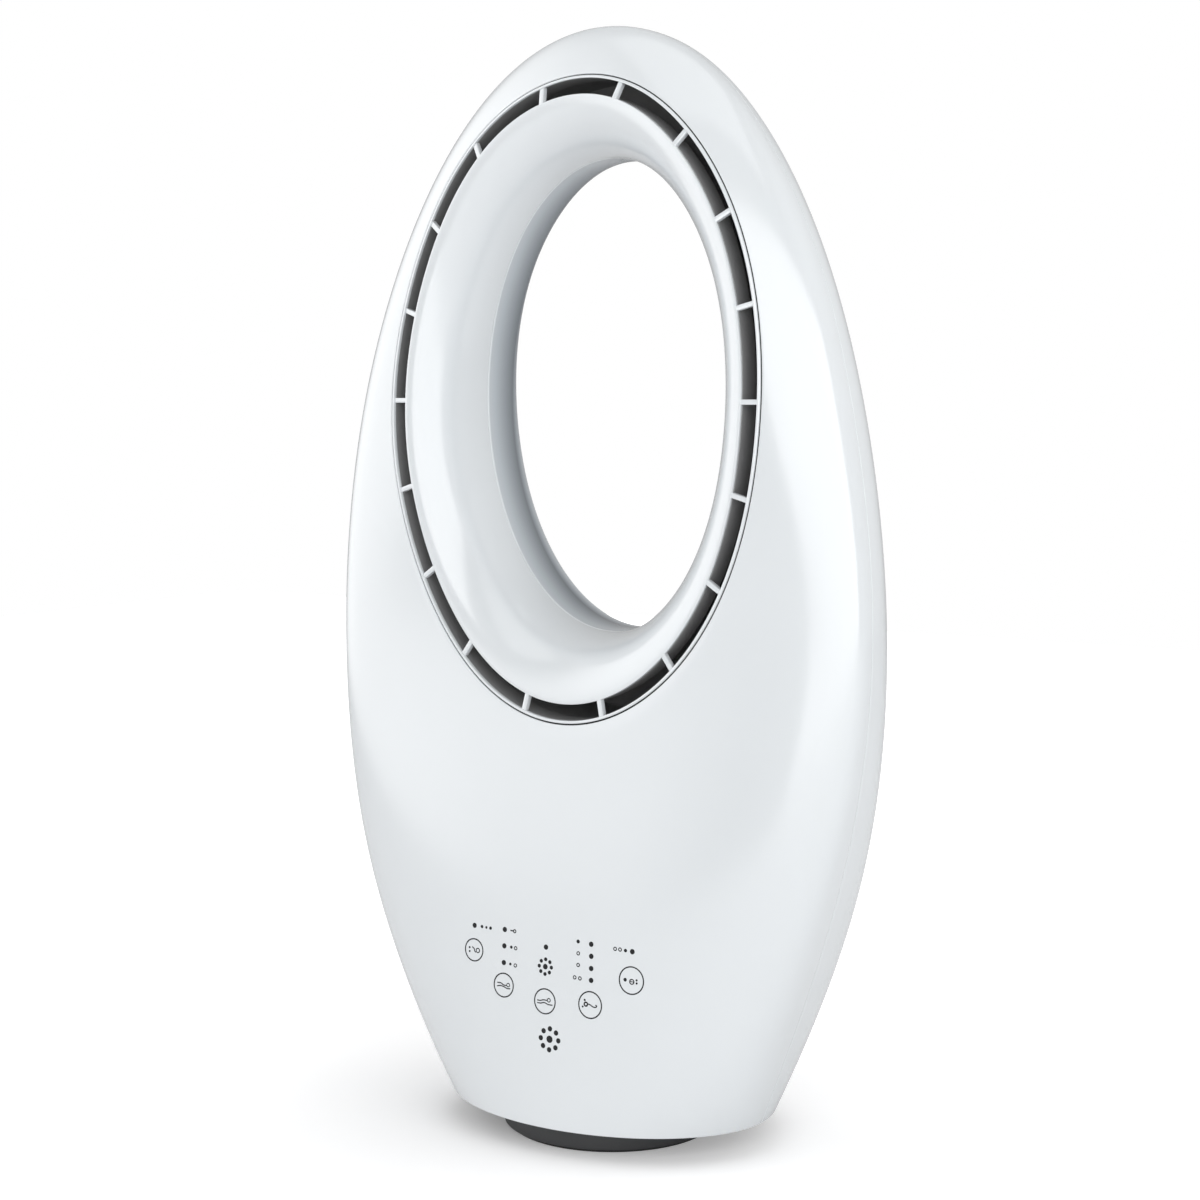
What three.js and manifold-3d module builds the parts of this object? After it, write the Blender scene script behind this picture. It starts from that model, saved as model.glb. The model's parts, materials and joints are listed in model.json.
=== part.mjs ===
import * as THREE from 'three';
import * as BufferGeometryUtils from 'three/addons/utils/BufferGeometryUtils.js';
import Module from 'manifold-3d';

// Egg-shaped bladeless fan. Millimetres, +Z up, front towards -Y.
// The origin is on the floor, on the axis that the body swings about.

// ---- Egg-shaped body ----
const BODY_HEIGHT = 600;
const SHELL_FOOT_Z = 15;
const WALL = 2.5;
const SEAT_GAP = 0.3;
// Loft stations of the body, at equal steps of the level angle from the foot (0) to the crown (90 degrees).
const HALF_WIDTHS = [96, 146, 166, 156, 131, 94.5, 51.5, 0];
const FRONT_DEPTHS = [70.5, 48, 32, 37.5, 38.5, 34.5, 17.5, 0];
const REAR_DEPTHS = [80, 66.5, 55.5, 53, 46.5, 36.5, 16.5, 0];
const PARTING_SETBACKS = [1, 12.5, 16, 14, 10, 6, 4.5, 6.5];
const SQUARENESS = [2, 3.6, 3.3, 3, 2.7, 2.5, 2.35, 2.4];
const BODY_LEVELS = 16;
const BODY_COLUMNS = 36;
const FOOT_OVERRUN = 6;
// The flat facets of the wall lie this much inside its true curve at most.
const FACET_ALLOWANCE = 1.2;

// ---- Outlet ring ----
const SLOT_HALF_WIDTH = 110.3;
const SLOT_HALF_HEIGHT = BODY_HEIGHT * 0.2753;
const SLOT_CENTRE_Z = BODY_HEIGHT * 0.6683;
const SLOT_GAP = 8.5;
const THROAT_SIDE_INSET = 27.3;
const THROAT_END_INSET = 37;
const THROAT_RISE = 2;
const THROAT_HALF_WIDTH = SLOT_HALF_WIDTH - THROAT_SIDE_INSET;
const THROAT_HALF_HEIGHT = SLOT_HALF_HEIGHT - THROAT_END_INSET;
const THROAT_CENTRE_Z = SLOT_CENTRE_Z + THROAT_RISE;
const THROAT_SEAM_Y = 0;
const RING_WALL = 2.2;
const RING_LIP = 2;
const RING_REVEAL = 0.6;
const RING_FLANGE = 4;
const RING_FLANGE_THICKNESS = 2;
const SLOT_SKIRT_DEPTH = 6;
const RIB_COUNT = 18;
const RIB_WIDTH = 2.2;
const RIB_DEPTH = 4;
const RIB_RECESS = 0.4;
const RIB_ROOT = 1.2;
const RING_STEPS = 44;
const DOUGHNUT_STEPS = 5;
const DOUGHNUT_INNER_STEPS = 3;
const REAR_EDGE_RADIUS = 9;
const REAR_EDGE_STEPS = 3;
const REAR_EDGE_INNER_STEPS = 2;
const LINER_TAB = 1.5;
const LINER_FLANGE = 4;

// ---- Air channel behind the slot ----
const CHANNEL_WALL = 2;
const CHANNEL_BACK_Y = 20;
const CHANNEL_THROAT_GAP = 3.8;
const CHANNEL_FRONT_Y = -3;
const CHANNEL_SET_OUT = 1.8;
const CHANNEL_CLEARANCE = 1.5;
const CHANNEL_INLET_HALF_WIDTH = 38;
const CHANNEL_INLET_FRONT_Y = -33;
const CHANNEL_INLET_REAR_Y = 12;

// ---- Shell screws ----
const SCREW_SLOT_OFFSET = 15.7;
const SCREW_SPOTS = [
  [112, BODY_HEIGHT * 0.1833],
  [SLOT_HALF_WIDTH + SCREW_SLOT_OFFSET, BODY_HEIGHT * 0.7533],
];
const BOSS_RADIUS = 5;
const SCREW_RADIUS = 1.9;
const SCREW_HEAD_RADIUS = 3.6;
const SCREW_HEAD_HEIGHT = 2.6;
const SCREW_SEAT_DEPTH = 6;
const SCREW_REACH = 11;
const ROUND_SIDES = 8;
const BLOWER_SIDES = 24;
const DRUM_SIDES = 18;
const BASE_SIDES = 30;

// ---- Rear intake grille ----
const GRILLE_CENTRE_Z = BODY_HEIGHT * 0.19;
const GRILLE_HALF_WIDTH = 78;
const GRILLE_HALF_HEIGHT = BODY_HEIGHT / 12;
const GRILLE_SQUARENESS = 2.6;
const GRILLE_RIM = 5;
const GRILLE_FLANGE_THICKNESS = 1.6;
const SLAT_PITCH = 13;
const SLAT_OPENING = 7.5;

// ---- Base ----
const PAD_THICKNESS = 1.6;
const PAD_INSET = 3;
const BASE_RADIUS = 60;
const BASE_TOP_Z = 12;
const BASE_WALL = 2.5;
const BASE_BEVEL = 1;
const HUB_RADIUS = 21.5;
const HUB_BORE = 8;
const BALLAST_HEIGHT = 6.8;
const GLIDE_INNER = 38;
const GLIDE_OUTER = 48;
const GLIDE_THICKNESS = 1.6;
const FLOOR_THICKNESS = 3;

// ---- Swing drive ----
const GEAR_MODULE = 1.75;
const GEAR_TEETH = 28;
const PINION_TEETH = 12;
const GEAR_THICKNESS = 7;
const GEAR_LIFT = 0.6;
const ADDENDUM = 0.9;
const DEDENDUM = 1.2;
const BACKLASH = 0.4;
const PRESSURE_ANGLE = THREE.MathUtils.degToRad(20);
const GEAR_SCREW_CIRCLE = 15;
const GEAR_SCREW_COUNT = 3;
const SMALL_SCREW_RADIUS = 1.4;
const SMALL_HEAD_RADIUS = 2.7;
const SMALL_HEAD_HEIGHT = 2.2;
const GEAR_SCREW_LENGTH = 14;
const SWING_SHAFT_RADIUS = 2.5;
const SWING_MOTOR_RADIUS = 14;
const SWING_MOTOR_HEIGHT = 19;
const SWING_MOTOR_OFFSET = 8;
const SWING_MOTOR_LIFT = 2.4;
const SWING_EAR_REACH = 17.5;
const SWING_EAR_RADIUS = 3.5;
const SWING_EAR_THICKNESS = 1;

// ---- Blower ----
const BLOWER_Y = -3;
const HOUSING_INNER = 46;
const HOUSING_WALL = 2;
const HOUSING_FOOT_Z = BODY_HEIGHT * 0.1067;
const HOUSING_TOP_Z = BODY_HEIGHT * 0.2933;
const BELL_FLARE = 5;
const BELL_HEIGHT = 9;
const LUG_CIRCLE = 57;
const LUG_RADIUS = 5.5;
const LUG_THICKNESS = 4;
const LUG_ANGLES = [90, 210, 330];
const DAMPER_RADIUS = 5;
const DAMPER_HEIGHT = 5;
const POST_RADIUS = 4.5;
const POST_HOLE_DEPTH = 14;
const BLOWER_SCREW_LENGTH = 18;
const CRADLE_DROP = 61;
const CUP_DROP = 14;
const IMPELLER_RISE = 14;
const CRADLE_FOOT_Z = HOUSING_TOP_Z - CRADLE_DROP;
const CUP_TOP_Z = HOUSING_TOP_Z - CUP_DROP;
const IMPELLER_FOOT_Z = HOUSING_FOOT_Z + IMPELLER_RISE;
const IMPELLER_RUN_GAP = 3;
const IMPELLER_HEIGHT = CRADLE_FOOT_Z - IMPELLER_RUN_GAP - IMPELLER_FOOT_Z;
const IMPELLER_TIP_GAP = 1.8;
const IMPELLER_HUB_FOOT = 12;
const CUP_RADIUS = 27;
const IMPELLER_HUB_TOP = CUP_RADIUS;
const IMPELLER_NOSE = 8;
const BLADE_COUNT = 9;
const BLADE_THICKNESS = 1.6;
const BLADE_SWEEP = THREE.MathUtils.degToRad(62);
const BLADE_ROOT = 1.5;
const SHAFT_RADIUS = 2.5;
const CRADLE_RING_HEIGHT = 34;
const CUP_WALL = 2;
const CUP_NOSE = 10;
const VANE_COUNT = 7;
const VANE_TURN = THREE.MathUtils.degToRad(26);
const MOTOR_HEADROOM = 9;
const MOTOR_HEIGHT = CUP_TOP_Z - CRADLE_FOOT_Z - MOTOR_HEADROOM;
const BEARING_RADIUS = 8;
const BEARING_WIDTH = 5;
const DUCT_WALL = 2;
const DUCT_STRAIGHT_DROP = 17.8;
const DUCT_SQUARENESS = 6;
const DUCT_SIDES = 20;

// ---- Electronics ----
const BOARD_THICKNESS = 1.6;
const CONTROL_BOARD = { left: 32, right: 72, front: -20, rear: 32, z: 31 };
const CAPACITOR_RADIUS = 5;
const CAPACITOR_HEIGHT = 14;
const CHIP_SIZE = 9;
const PLUG_DEPTH = 6;
const BOARD_POST_RADIUS = 2.6;
const BOARD_POST_INSET = 4;
const TOUCH_BOARD_Y = -55;
const TOUCH_BOARD_LEFT = -56;
const TOUCH_BOARD_RIGHT = 60;
const TOUCH_BOARD_FOOT_Z = 58;
const TOUCH_BOARD_TOP_Z = 122;
const TOUCH_KEYS = [[-48, 103.4], [-27.2, 87.3], [0, 82.4], [28.6, 84.6], [52.8, 100.7]];
const TOUCH_SPRING_RADIUS = 4;
const TOUCH_SPRING_WALL = 1.2;
const INLET_X = 52;
const INLET_Z = 44;
const INLET_RADIUS = 6;
const INLET_BORE = 3.2;
const INLET_DEPTH = 12;
const INLET_FLANGE = 2.5;
const INLET_PIN = 0.9;

const QUARTER = Math.PI / 2;
const TURN = Math.PI * 2;

const wasm = await Module();
wasm.setup();

// ---- Solids from three.js geometry ----

function toSolid(geometry) {
  geometry.deleteAttribute('normal');
  geometry.deleteAttribute('uv');
  const merged = BufferGeometryUtils.mergeVertices(geometry, 1e-4);
  const position = merged.getAttribute('position');
  const index = merged.getIndex().array;
  const corners = [];
  let volume = 0;
  const [a, b, c] = [new THREE.Vector3(), new THREE.Vector3(), new THREE.Vector3()];
  for (let i = 0; i < index.length; i += 3) {
    const [p, q, r] = [index[i], index[i + 1], index[i + 2]];
    if (p === q || q === r || r === p) continue;
    corners.push(p, q, r);
    a.fromBufferAttribute(position, p);
    b.fromBufferAttribute(position, q);
    c.fromBufferAttribute(position, r);
    volume += a.dot(b.cross(c));
  }
  if (volume < 0) corners.reverse();
  const vertProperties = new Float32Array(position.array);
  const triVerts = new Uint32Array(corners);
  return new wasm.Manifold(new wasm.Mesh({ numProp: 3, vertProperties, triVerts }));
}

function toGeometry(solid) {
  const mesh = solid.getMesh();
  const geometry = new THREE.BufferGeometry();
  geometry.setAttribute('position', new THREE.BufferAttribute(mesh.vertProperties, 3));
  geometry.setIndex(new THREE.BufferAttribute(mesh.triVerts, 1));
  geometry.computeVertexNormals();
  return geometry;
}

function join(first, ...others) {
  return others.reduce((whole, piece) => whole.add(piece), first);
}

function cut(solid, ...tools) {
  return tools.reduce((rest, tool) => rest.subtract(tool), solid);
}

// Skins a row of closed rings of points. Open rows get a cap at each end; a ring of one point is a tip.
function loft(rings, closed = false) {
  const points = [];
  const index = [];
  const starts = rings.map((ring) => {
    points.push(...ring);
    return points.length - ring.length;
  });
  const bridge = (from, to) => {
    const sides = Math.max(rings[from].length, rings[to].length);
    for (let i = 0; i < sides; i++) {
      const near = [i, i + 1].map((k) => starts[from] + (k % rings[from].length));
      const far = [i, i + 1].map((k) => starts[to] + (k % rings[to].length));
      index.push(near[0], near[1], far[1], near[0], far[1], far[0]);
    }
  };
  const cap = (which, outward) => {
    const ring = rings[which];
    if (ring.length === 1) return;
    const middle = ring.reduce((sum, p) => sum.add(p), new THREE.Vector3()).divideScalar(ring.length);
    points.push(middle);
    for (let i = 0; i < ring.length; i++) {
      const pair = [starts[which] + i, starts[which] + ((i + 1) % ring.length)];
      if (outward) pair.reverse();
      index.push(pair[1], pair[0], points.length - 1);
    }
  };
  for (let i = 0; i + 1 < rings.length; i++) bridge(i, i + 1);
  if (closed) {
    bridge(rings.length - 1, 0);
  } else {
    cap(0, false);
    cap(rings.length - 1, true);
  }
  const geometry = new THREE.BufferGeometry().setFromPoints(points);
  geometry.setIndex(index);
  return toSolid(geometry);
}

// Revolves a closed outline of [radius, height] points about a vertical axis.
function revolve(outline, x = 0, y = 0, sides = 32) {
  const points = [...outline, outline[0]].map(([radius, height]) => new THREE.Vector2(radius, height));
  const geometry = new THREE.LatheGeometry(points, sides);
  geometry.rotateX(QUARTER);
  geometry.translate(x, y, 0);
  return toSolid(geometry);
}

function prismZ(shape, low, high) {
  const geometry = new THREE.ExtrudeGeometry(shape, { depth: high - low, bevelEnabled: false });
  geometry.translate(0, 0, low);
  return toSolid(geometry);
}

// Extrudes a shape drawn in x and z along Y.
function prismY(shape, front, rear) {
  const geometry = new THREE.ExtrudeGeometry(shape, { depth: rear - front, bevelEnabled: false });
  geometry.rotateX(QUARTER);
  geometry.translate(0, rear, 0);
  return toSolid(geometry);
}

function ovalShape(halfX, halfY, centreX = 0, centreY = 0, sides = RING_STEPS, square = 2) {
  const points = [];
  for (let i = 0; i < sides; i++) {
    const spot = ovalSpot((i / sides) * TURN, square);
    points.push(new THREE.Vector2(centreX + halfX * spot.x, centreY + halfY * spot.y));
  }
  return new THREE.Shape(points);
}

function boxShape(left, right, low, high) {
  const corners = [[left, low], [right, low], [right, high], [left, high]];
  return new THREE.Shape(corners.map(([x, y]) => new THREE.Vector2(x, y)));
}

// Straight bar between two spots, with a half width.
function barShape(fromX, fromY, toX, toY, half) {
  const from = new THREE.Vector2(fromX, fromY);
  const to = new THREE.Vector2(toX, toY);
  const side = to.clone().sub(from).setLength(half);
  side.set(-side.y, side.x);
  return new THREE.Shape([from.clone().add(side), from.sub(side), to.clone().sub(side), to.add(side)]);
}

function cylinderZ(radius, low, high, x = 0, y = 0, sides = ROUND_SIDES) {
  return prismZ(ovalShape(radius, radius, x, y, sides), low, high);
}

function cylinderY(radius, front, rear, x, z, sides = ROUND_SIDES) {
  return prismY(ovalShape(radius, radius, x, z, sides), front, rear);
}

// ---- Body surface ----

// Unit superellipse by its polar angle, which spaces the points evenly.
function ovalSpot(angle, square) {
  const [cos, sin] = [Math.cos(angle), Math.sin(angle)];
  const radius = (Math.abs(cos) ** square + Math.abs(sin) ** square) ** (-1 / square);
  return { x: radius * cos, y: radius * sin };
}

// Natural cubic spline through values at equal steps of 0 to 1.
function smoothLaw(values) {
  const last = values.length - 1;
  const bend = new Array(last + 1).fill(0);
  const share = new Array(last + 1).fill(0);
  for (let i = 1; i < last; i++) {
    share[i] = 1 / (4 - share[i - 1]);
    const curve = 6 * (values[i + 1] - 2 * values[i] + values[i - 1]);
    bend[i] = (curve - bend[i - 1]) * share[i];
  }
  for (let i = last - 1; i > 0; i--) bend[i] -= share[i] * bend[i + 1];
  return (level) => {
    const i = Math.min(Math.floor(level * last), last - 1);
    const after = level * last - i;
    const before = 1 - after;
    const line = values[i] * before + values[i + 1] * after;
    return line + ((after ** 3 - after) * bend[i + 1] + (before ** 3 - before) * bend[i]) / 6;
  };
}

const halfWidthAt = smoothLaw(HALF_WIDTHS);
const frontDepthAt = smoothLaw(FRONT_DEPTHS);
const rearDepthAt = smoothLaw(REAR_DEPTHS);
const partingSetbackAt = smoothLaw(PARTING_SETBACKS);
const squarenessAt = smoothLaw(SQUARENESS);

function heightOf(level) {
  return SHELL_FOOT_Z + (BODY_HEIGHT - SHELL_FOOT_Z) * Math.sin(level * QUARTER);
}

function levelOf(z) {
  const rise = THREE.MathUtils.clamp((z - SHELL_FOOT_Z) / (BODY_HEIGHT - SHELL_FOOT_Z), 0, 1);
  return Math.asin(rise) / QUARTER;
}

function partingY(z) {
  return -partingSetbackAt(levelOf(z));
}

// Y of the body's outer skin at x and z; side is -1 for the front and 1 for the rear.
function skinY(x, z, side) {
  const level = levelOf(z);
  const square = squarenessAt(level);
  const depth = side < 0 ? frontDepthAt(level) : rearDepthAt(level);
  const across = Math.min(Math.abs(x) / halfWidthAt(level), 1);
  return -partingSetbackAt(level) + side * depth * (1 - across ** square) ** (1 / square);
}

// Y of the inner face of the wall at x and z.
function wallY(x, z, side) {
  const step = 0.5;
  const slopeX = (skinY(x + step, z, side) - skinY(x - step, z, side)) / (2 * step);
  const slopeZ = (skinY(x, z + step, side) - skinY(x, z - step, side)) / (2 * step);
  return skinY(x, z, side) - side * WALL * Math.hypot(1, slopeX, slopeZ);
}

function bodyPoint(level, angle) {
  const spot = ovalSpot(angle, squarenessAt(level));
  const depth = spot.y < 0 ? frontDepthAt(level) : rearDepthAt(level);
  const x = halfWidthAt(level) * spot.x;
  return new THREE.Vector3(x, -partingSetbackAt(level) + depth * spot.y, heightOf(level));
}

function insetPoint(level, angle, inset) {
  const step = 1e-3;
  const along = bodyPoint(level, angle + step).sub(bodyPoint(level, angle - step));
  const low = Math.max(level - step, 0);
  const up = bodyPoint(level + step, angle).sub(bodyPoint(low, angle));
  return bodyPoint(level, angle).addScaledVector(along.cross(up).normalize(), -inset);
}

// The egg as one solid, its skin moved in by inset. A moved one runs on below the foot.
function bodySolid(inset) {
  const rings = [];
  for (let i = 0; i < BODY_LEVELS; i++) {
    const ring = [];
    for (let k = 0; k < BODY_COLUMNS; k++) {
      ring.push(insetPoint(i / BODY_LEVELS, (k / BODY_COLUMNS) * TURN, inset));
    }
    rings.push(ring);
  }
  if (inset > 0) {
    const drop = new THREE.Vector3(0, 0, FOOT_OVERRUN);
    rings.unshift(rings[0].map((point) => point.clone().sub(drop)));
  }
  rings.push([new THREE.Vector3(0, partingY(BODY_HEIGHT), BODY_HEIGHT - inset)]);
  return loft(rings);
}

function skinLayer(outer, inner) {
  return cut(bodySolid(outer), bodySolid(inner));
}

// Everything on one side of the curved parting line, half a seat gap away from it.
function partingHalf(side) {
  const reach = HALF_WIDTHS[2] * 2;
  const outline = [];
  for (let i = 0; i <= BODY_LEVELS; i++) {
    const z = heightOf(i / BODY_LEVELS);
    outline.push([partingY(z) + (side * SEAT_GAP) / 2, z]);
  }
  outline.push([outline[BODY_LEVELS][0], BODY_HEIGHT + FOOT_OVERRUN]);
  outline.unshift([outline[0][0], SHELL_FOOT_Z - 2 * FOOT_OVERRUN]);
  outline.push([side * reach, BODY_HEIGHT + FOOT_OVERRUN]);
  outline.push([side * reach, SHELL_FOOT_Z - 2 * FOOT_OVERRUN]);
  const shape = new THREE.Shape(outline.map(([y, z]) => new THREE.Vector2(y, z)));
  const geometry = new THREE.ExtrudeGeometry(shape, { depth: 2 * reach, bevelEnabled: false });
  geometry.rotateX(QUARTER);
  geometry.rotateZ(QUARTER);
  geometry.translate(-reach, 0, 0);
  return toSolid(geometry);
}

// ---- Rings around the throat ----

// Angles that space points evenly along the slot's ellipse, from its top.
function evenAngles(count, offset) {
  const samples = 3600;
  const lengths = [0];
  for (let i = 0; i < samples; i++) {
    const angle = ((i + 0.5) / samples) * TURN;
    const speed = Math.hypot(SLOT_HALF_WIDTH * Math.cos(angle), SLOT_HALF_HEIGHT * Math.sin(angle));
    lengths.push(lengths[i] + (speed * TURN) / samples);
  }
  const angles = [];
  for (let k = 0; k < count; k++) {
    const target = ((k + offset) / count) * lengths[samples];
    const i = lengths.findIndex((length) => length > target) - 1;
    const share = (target - lengths[i]) / (lengths[i + 1] - lengths[i]);
    angles.push(((i + share) / samples) * TURN);
  }
  return angles;
}

// A spot on an ellipse round the throat: across 0 is the throat, 1 the slot's middle, and offset is added.
function ringSpot(angle, across, offset) {
  const halfWidth = THREE.MathUtils.lerp(THROAT_HALF_WIDTH, SLOT_HALF_WIDTH, across) + offset;
  const halfHeight = THREE.MathUtils.lerp(THROAT_HALF_HEIGHT, SLOT_HALF_HEIGHT, across) + offset;
  const centre = THREE.MathUtils.lerp(THROAT_CENTRE_Z, SLOT_CENTRE_Z, across);
  return { x: halfWidth * Math.sin(angle), z: centre + halfHeight * Math.cos(angle) };
}

function ringPoint(angle, across, offset, y) {
  const spot = ringSpot(angle, across, offset);
  return new THREE.Vector3(spot.x, y, spot.z);
}

function skinPoint(angle, across, offset, side, behind = 0) {
  const spot = ringSpot(angle, across, offset);
  return new THREE.Vector3(spot.x, skinY(spot.x, spot.z, side) - side * behind, spot.z);
}

// Point on the rear skin round the throat, a depth under the skin.
function throatPoint(angle, offset, depth) {
  const spot = ringSpot(angle, 0, offset);
  return new THREE.Vector3(spot.x, skinY(spot.x, spot.z, 1) - depth, spot.z);
}

function wallPoint(angle, offset, behind) {
  const spot = ringSpot(angle, 1, offset);
  return new THREE.Vector3(spot.x, wallY(spot.x, spot.z, -1) + behind, spot.z);
}

// Sweeps a closed profile, given as points for each angle, round the throat.
function sweepRing(profile) {
  return loft(evenAngles(RING_STEPS, 0).map(profile), true);
}

const slotOuter = SLOT_GAP / 2;
const lipOuter = slotOuter + RING_LIP;
const openingOffset = lipOuter + RING_REVEAL;
const flangeOuter = openingOffset + RING_FLANGE;
const linerEdge = REAR_EDGE_RADIUS + LINER_TAB;
const linerFlange = linerEdge + LINER_FLANGE;
const flangeSeat = SEAT_GAP + FACET_ALLOWANCE;
const flangeBehind = flangeSeat + RING_FLANGE_THICKNESS;

// Lip round the slot, with the flange that seats behind the front shell.
function lipRing() {
  return sweepRing((angle) => [
    skinPoint(angle, 1, slotOuter, -1),
    skinPoint(angle, 1, lipOuter, -1),
    wallPoint(angle, lipOuter, flangeSeat),
    wallPoint(angle, flangeOuter, flangeSeat),
    wallPoint(angle, flangeOuter, flangeBehind),
    wallPoint(angle, slotOuter, flangeBehind),
  ]);
}

// Rounded inner ring from the slot to the seam in the throat, a quarter ellipse in section.
function doughnutRing() {
  const rearY = THROAT_SEAM_Y - SEAT_GAP / 2;
  return sweepRing((angle) => {
    const frontY = skinPoint(angle, 1, -slotOuter, -1).y;
    const arcPoint = (turn, wall) => {
      const sweep = Math.sin(turn * QUARTER);
      const offset = -slotOuter * (1 - sweep) + wall * sweep;
      const y = rearY + (frontY + wall - rearY) * Math.cos(turn * QUARTER);
      return ringPoint(angle, 1 - sweep, offset, y);
    };
    const outline = [];
    for (let i = 0; i <= DOUGHNUT_STEPS; i++) outline.push(arcPoint(i / DOUGHNUT_STEPS, 0));
    for (let i = DOUGHNUT_INNER_STEPS; i >= 1; i--) {
      outline.push(arcPoint(i / DOUGHNUT_INNER_STEPS, RING_WALL));
    }
    outline.push(ringPoint(angle, 1, -slotOuter, frontY + SLOT_SKIRT_DEPTH));
    return outline;
  });
}

function ribSolid(angle) {
  const inner = ringSpot(angle, 1, -slotOuter - RIB_ROOT);
  const outer = ringSpot(angle, 1, slotOuter + RIB_ROOT);
  const middle = ringSpot(angle, 1, 0);
  const front = skinY(middle.x, middle.z, -1) + RIB_RECESS;
  const shape = barShape(inner.x, inner.z, outer.x, outer.z, RIB_WIDTH / 2);
  return prismY(shape, front, front + RIB_DEPTH);
}

function outletRing() {
  const ribs = evenAngles(RIB_COUNT, 0.5).map(ribSolid);
  return join(lipRing(), doughnutRing(), ...ribs);
}

// Dark trough that carries air round the ring and closes the slot from behind.
function airChannel() {
  const outer = slotOuter + CHANNEL_SET_OUT + CHANNEL_WALL;
  const mouth = flangeBehind + SEAT_GAP;
  const trough = sweepRing((angle) => {
    const corner = ringSpot(angle, 1, outer);
    const clearRear = wallY(corner.x, corner.z, 1) - CHANNEL_CLEARANCE;
    const rear = Math.min(CHANNEL_BACK_Y, clearRear);
    return [
      wallPoint(angle, outer, mouth),
      ringPoint(angle, 1, outer, rear),
      ringPoint(angle, 0, CHANNEL_THROAT_GAP, Math.min(CHANNEL_BACK_Y, clearRear + CHANNEL_WALL)),
      ringPoint(angle, 0, CHANNEL_THROAT_GAP, CHANNEL_FRONT_Y),
      ringPoint(angle, 0, CHANNEL_THROAT_GAP + CHANNEL_WALL, CHANNEL_FRONT_Y),
      ringPoint(angle, 0, CHANNEL_THROAT_GAP + CHANNEL_WALL, rear - CHANNEL_WALL),
      ringPoint(angle, 1, outer - CHANNEL_WALL, rear - CHANNEL_WALL),
      wallPoint(angle, outer - CHANNEL_WALL, mouth),
    ];
  });
  const width = CHANNEL_INLET_HALF_WIDTH;
  const low = SLOT_CENTRE_Z - SLOT_HALF_HEIGHT - outer - FOOT_OVERRUN;
  const high = THROAT_CENTRE_Z - THROAT_HALF_HEIGHT - CHANNEL_THROAT_GAP - 2 * CHANNEL_WALL;
  const inlet = prismY(boxShape(-width, width, low, high), CHANNEL_INLET_FRONT_Y, CHANNEL_INLET_REAR_Y);
  return cut(trough, inlet);
}

// Wall of the throat behind the seam, rounding out to the rear skin, with a flange behind the rear shell.
function throatLiner() {
  const radius = REAR_EDGE_RADIUS;
  return sweepRing((angle) => {
    const rearY = skinPoint(angle, 0, radius, 1).y;
    const arcPoint = (turn, wall) => {
      const reach = radius - wall;
      const offset = radius - reach * Math.sin(turn * QUARTER);
      return ringPoint(angle, 0, offset, rearY - radius + reach * Math.cos(turn * QUARTER));
    };
    const outline = [throatPoint(angle, linerEdge, 0)];
    for (let i = 0; i <= REAR_EDGE_STEPS; i++) outline.push(arcPoint(i / REAR_EDGE_STEPS, 0));
    outline.push(ringPoint(angle, 0, 0, THROAT_SEAM_Y + SEAT_GAP / 2));
    outline.push(ringPoint(angle, 0, RING_WALL, THROAT_SEAM_Y + SEAT_GAP / 2));
    outline.push(arcPoint(1, RING_WALL));
    outline.push(throatPoint(angle, radius - RING_WALL / 2, WALL + flangeBehind));
    outline.push(throatPoint(angle, linerFlange, WALL + flangeBehind));
    outline.push(throatPoint(angle, linerFlange, WALL + flangeSeat));
    outline.push(throatPoint(angle, linerEdge, WALL + flangeSeat));
    return outline;
  });
}

// ---- Shells ----

function screwSpots() {
  return SCREW_SPOTS.flatMap(([x, z]) => [[x, z], [-x, z]]);
}

function openingPrism(halfWidth, halfHeight, centre, front, rear) {
  return prismY(ovalShape(halfWidth, halfHeight, 0, centre), front, rear);
}

function touchPosts() {
  const inset = BOARD_POST_INSET;
  const half = BOARD_POST_RADIUS;
  const posts = [];
  for (const x of [TOUCH_BOARD_LEFT + inset, TOUCH_BOARD_RIGHT - inset]) {
    for (const z of [TOUCH_BOARD_FOOT_Z + inset, TOUCH_BOARD_TOP_Z - inset]) {
      const rear = TOUCH_BOARD_Y - BOARD_THICKNESS - SEAT_GAP;
      posts.push(prismY(boxShape(x - half, x + half, z - half, z + half), skinY(x, z, -1), rear));
    }
  }
  return posts;
}

function frontShell() {
  const posts = touchPosts();
  const bosses = screwSpots().map(([x, z]) => {
    return cylinderY(BOSS_RADIUS, skinY(0, z, -1), partingY(z) - SEAT_GAP / 2, x, z);
  });
  const inside = bodySolid(WALL / 2);
  const fittings = join(...posts, ...bosses).intersect(inside);
  const holes = screwSpots().map(([x, z]) => {
    const parting = partingY(z);
    return cylinderY(SCREW_RADIUS + SEAT_GAP, parting - SCREW_REACH - 1, parting + 1, x, z);
  });
  const opening = openingPrism(
    SLOT_HALF_WIDTH + openingOffset,
    SLOT_HALF_HEIGHT + openingOffset,
    SLOT_CENTRE_Z,
    -2 * FRONT_DEPTHS[0],
    partingY(SLOT_CENTRE_Z) + WALL,
  );
  const shell = skinLayer(0, WALL).intersect(partingHalf(-1));
  return cut(join(shell, fittings), opening, ...holes);
}

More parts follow.
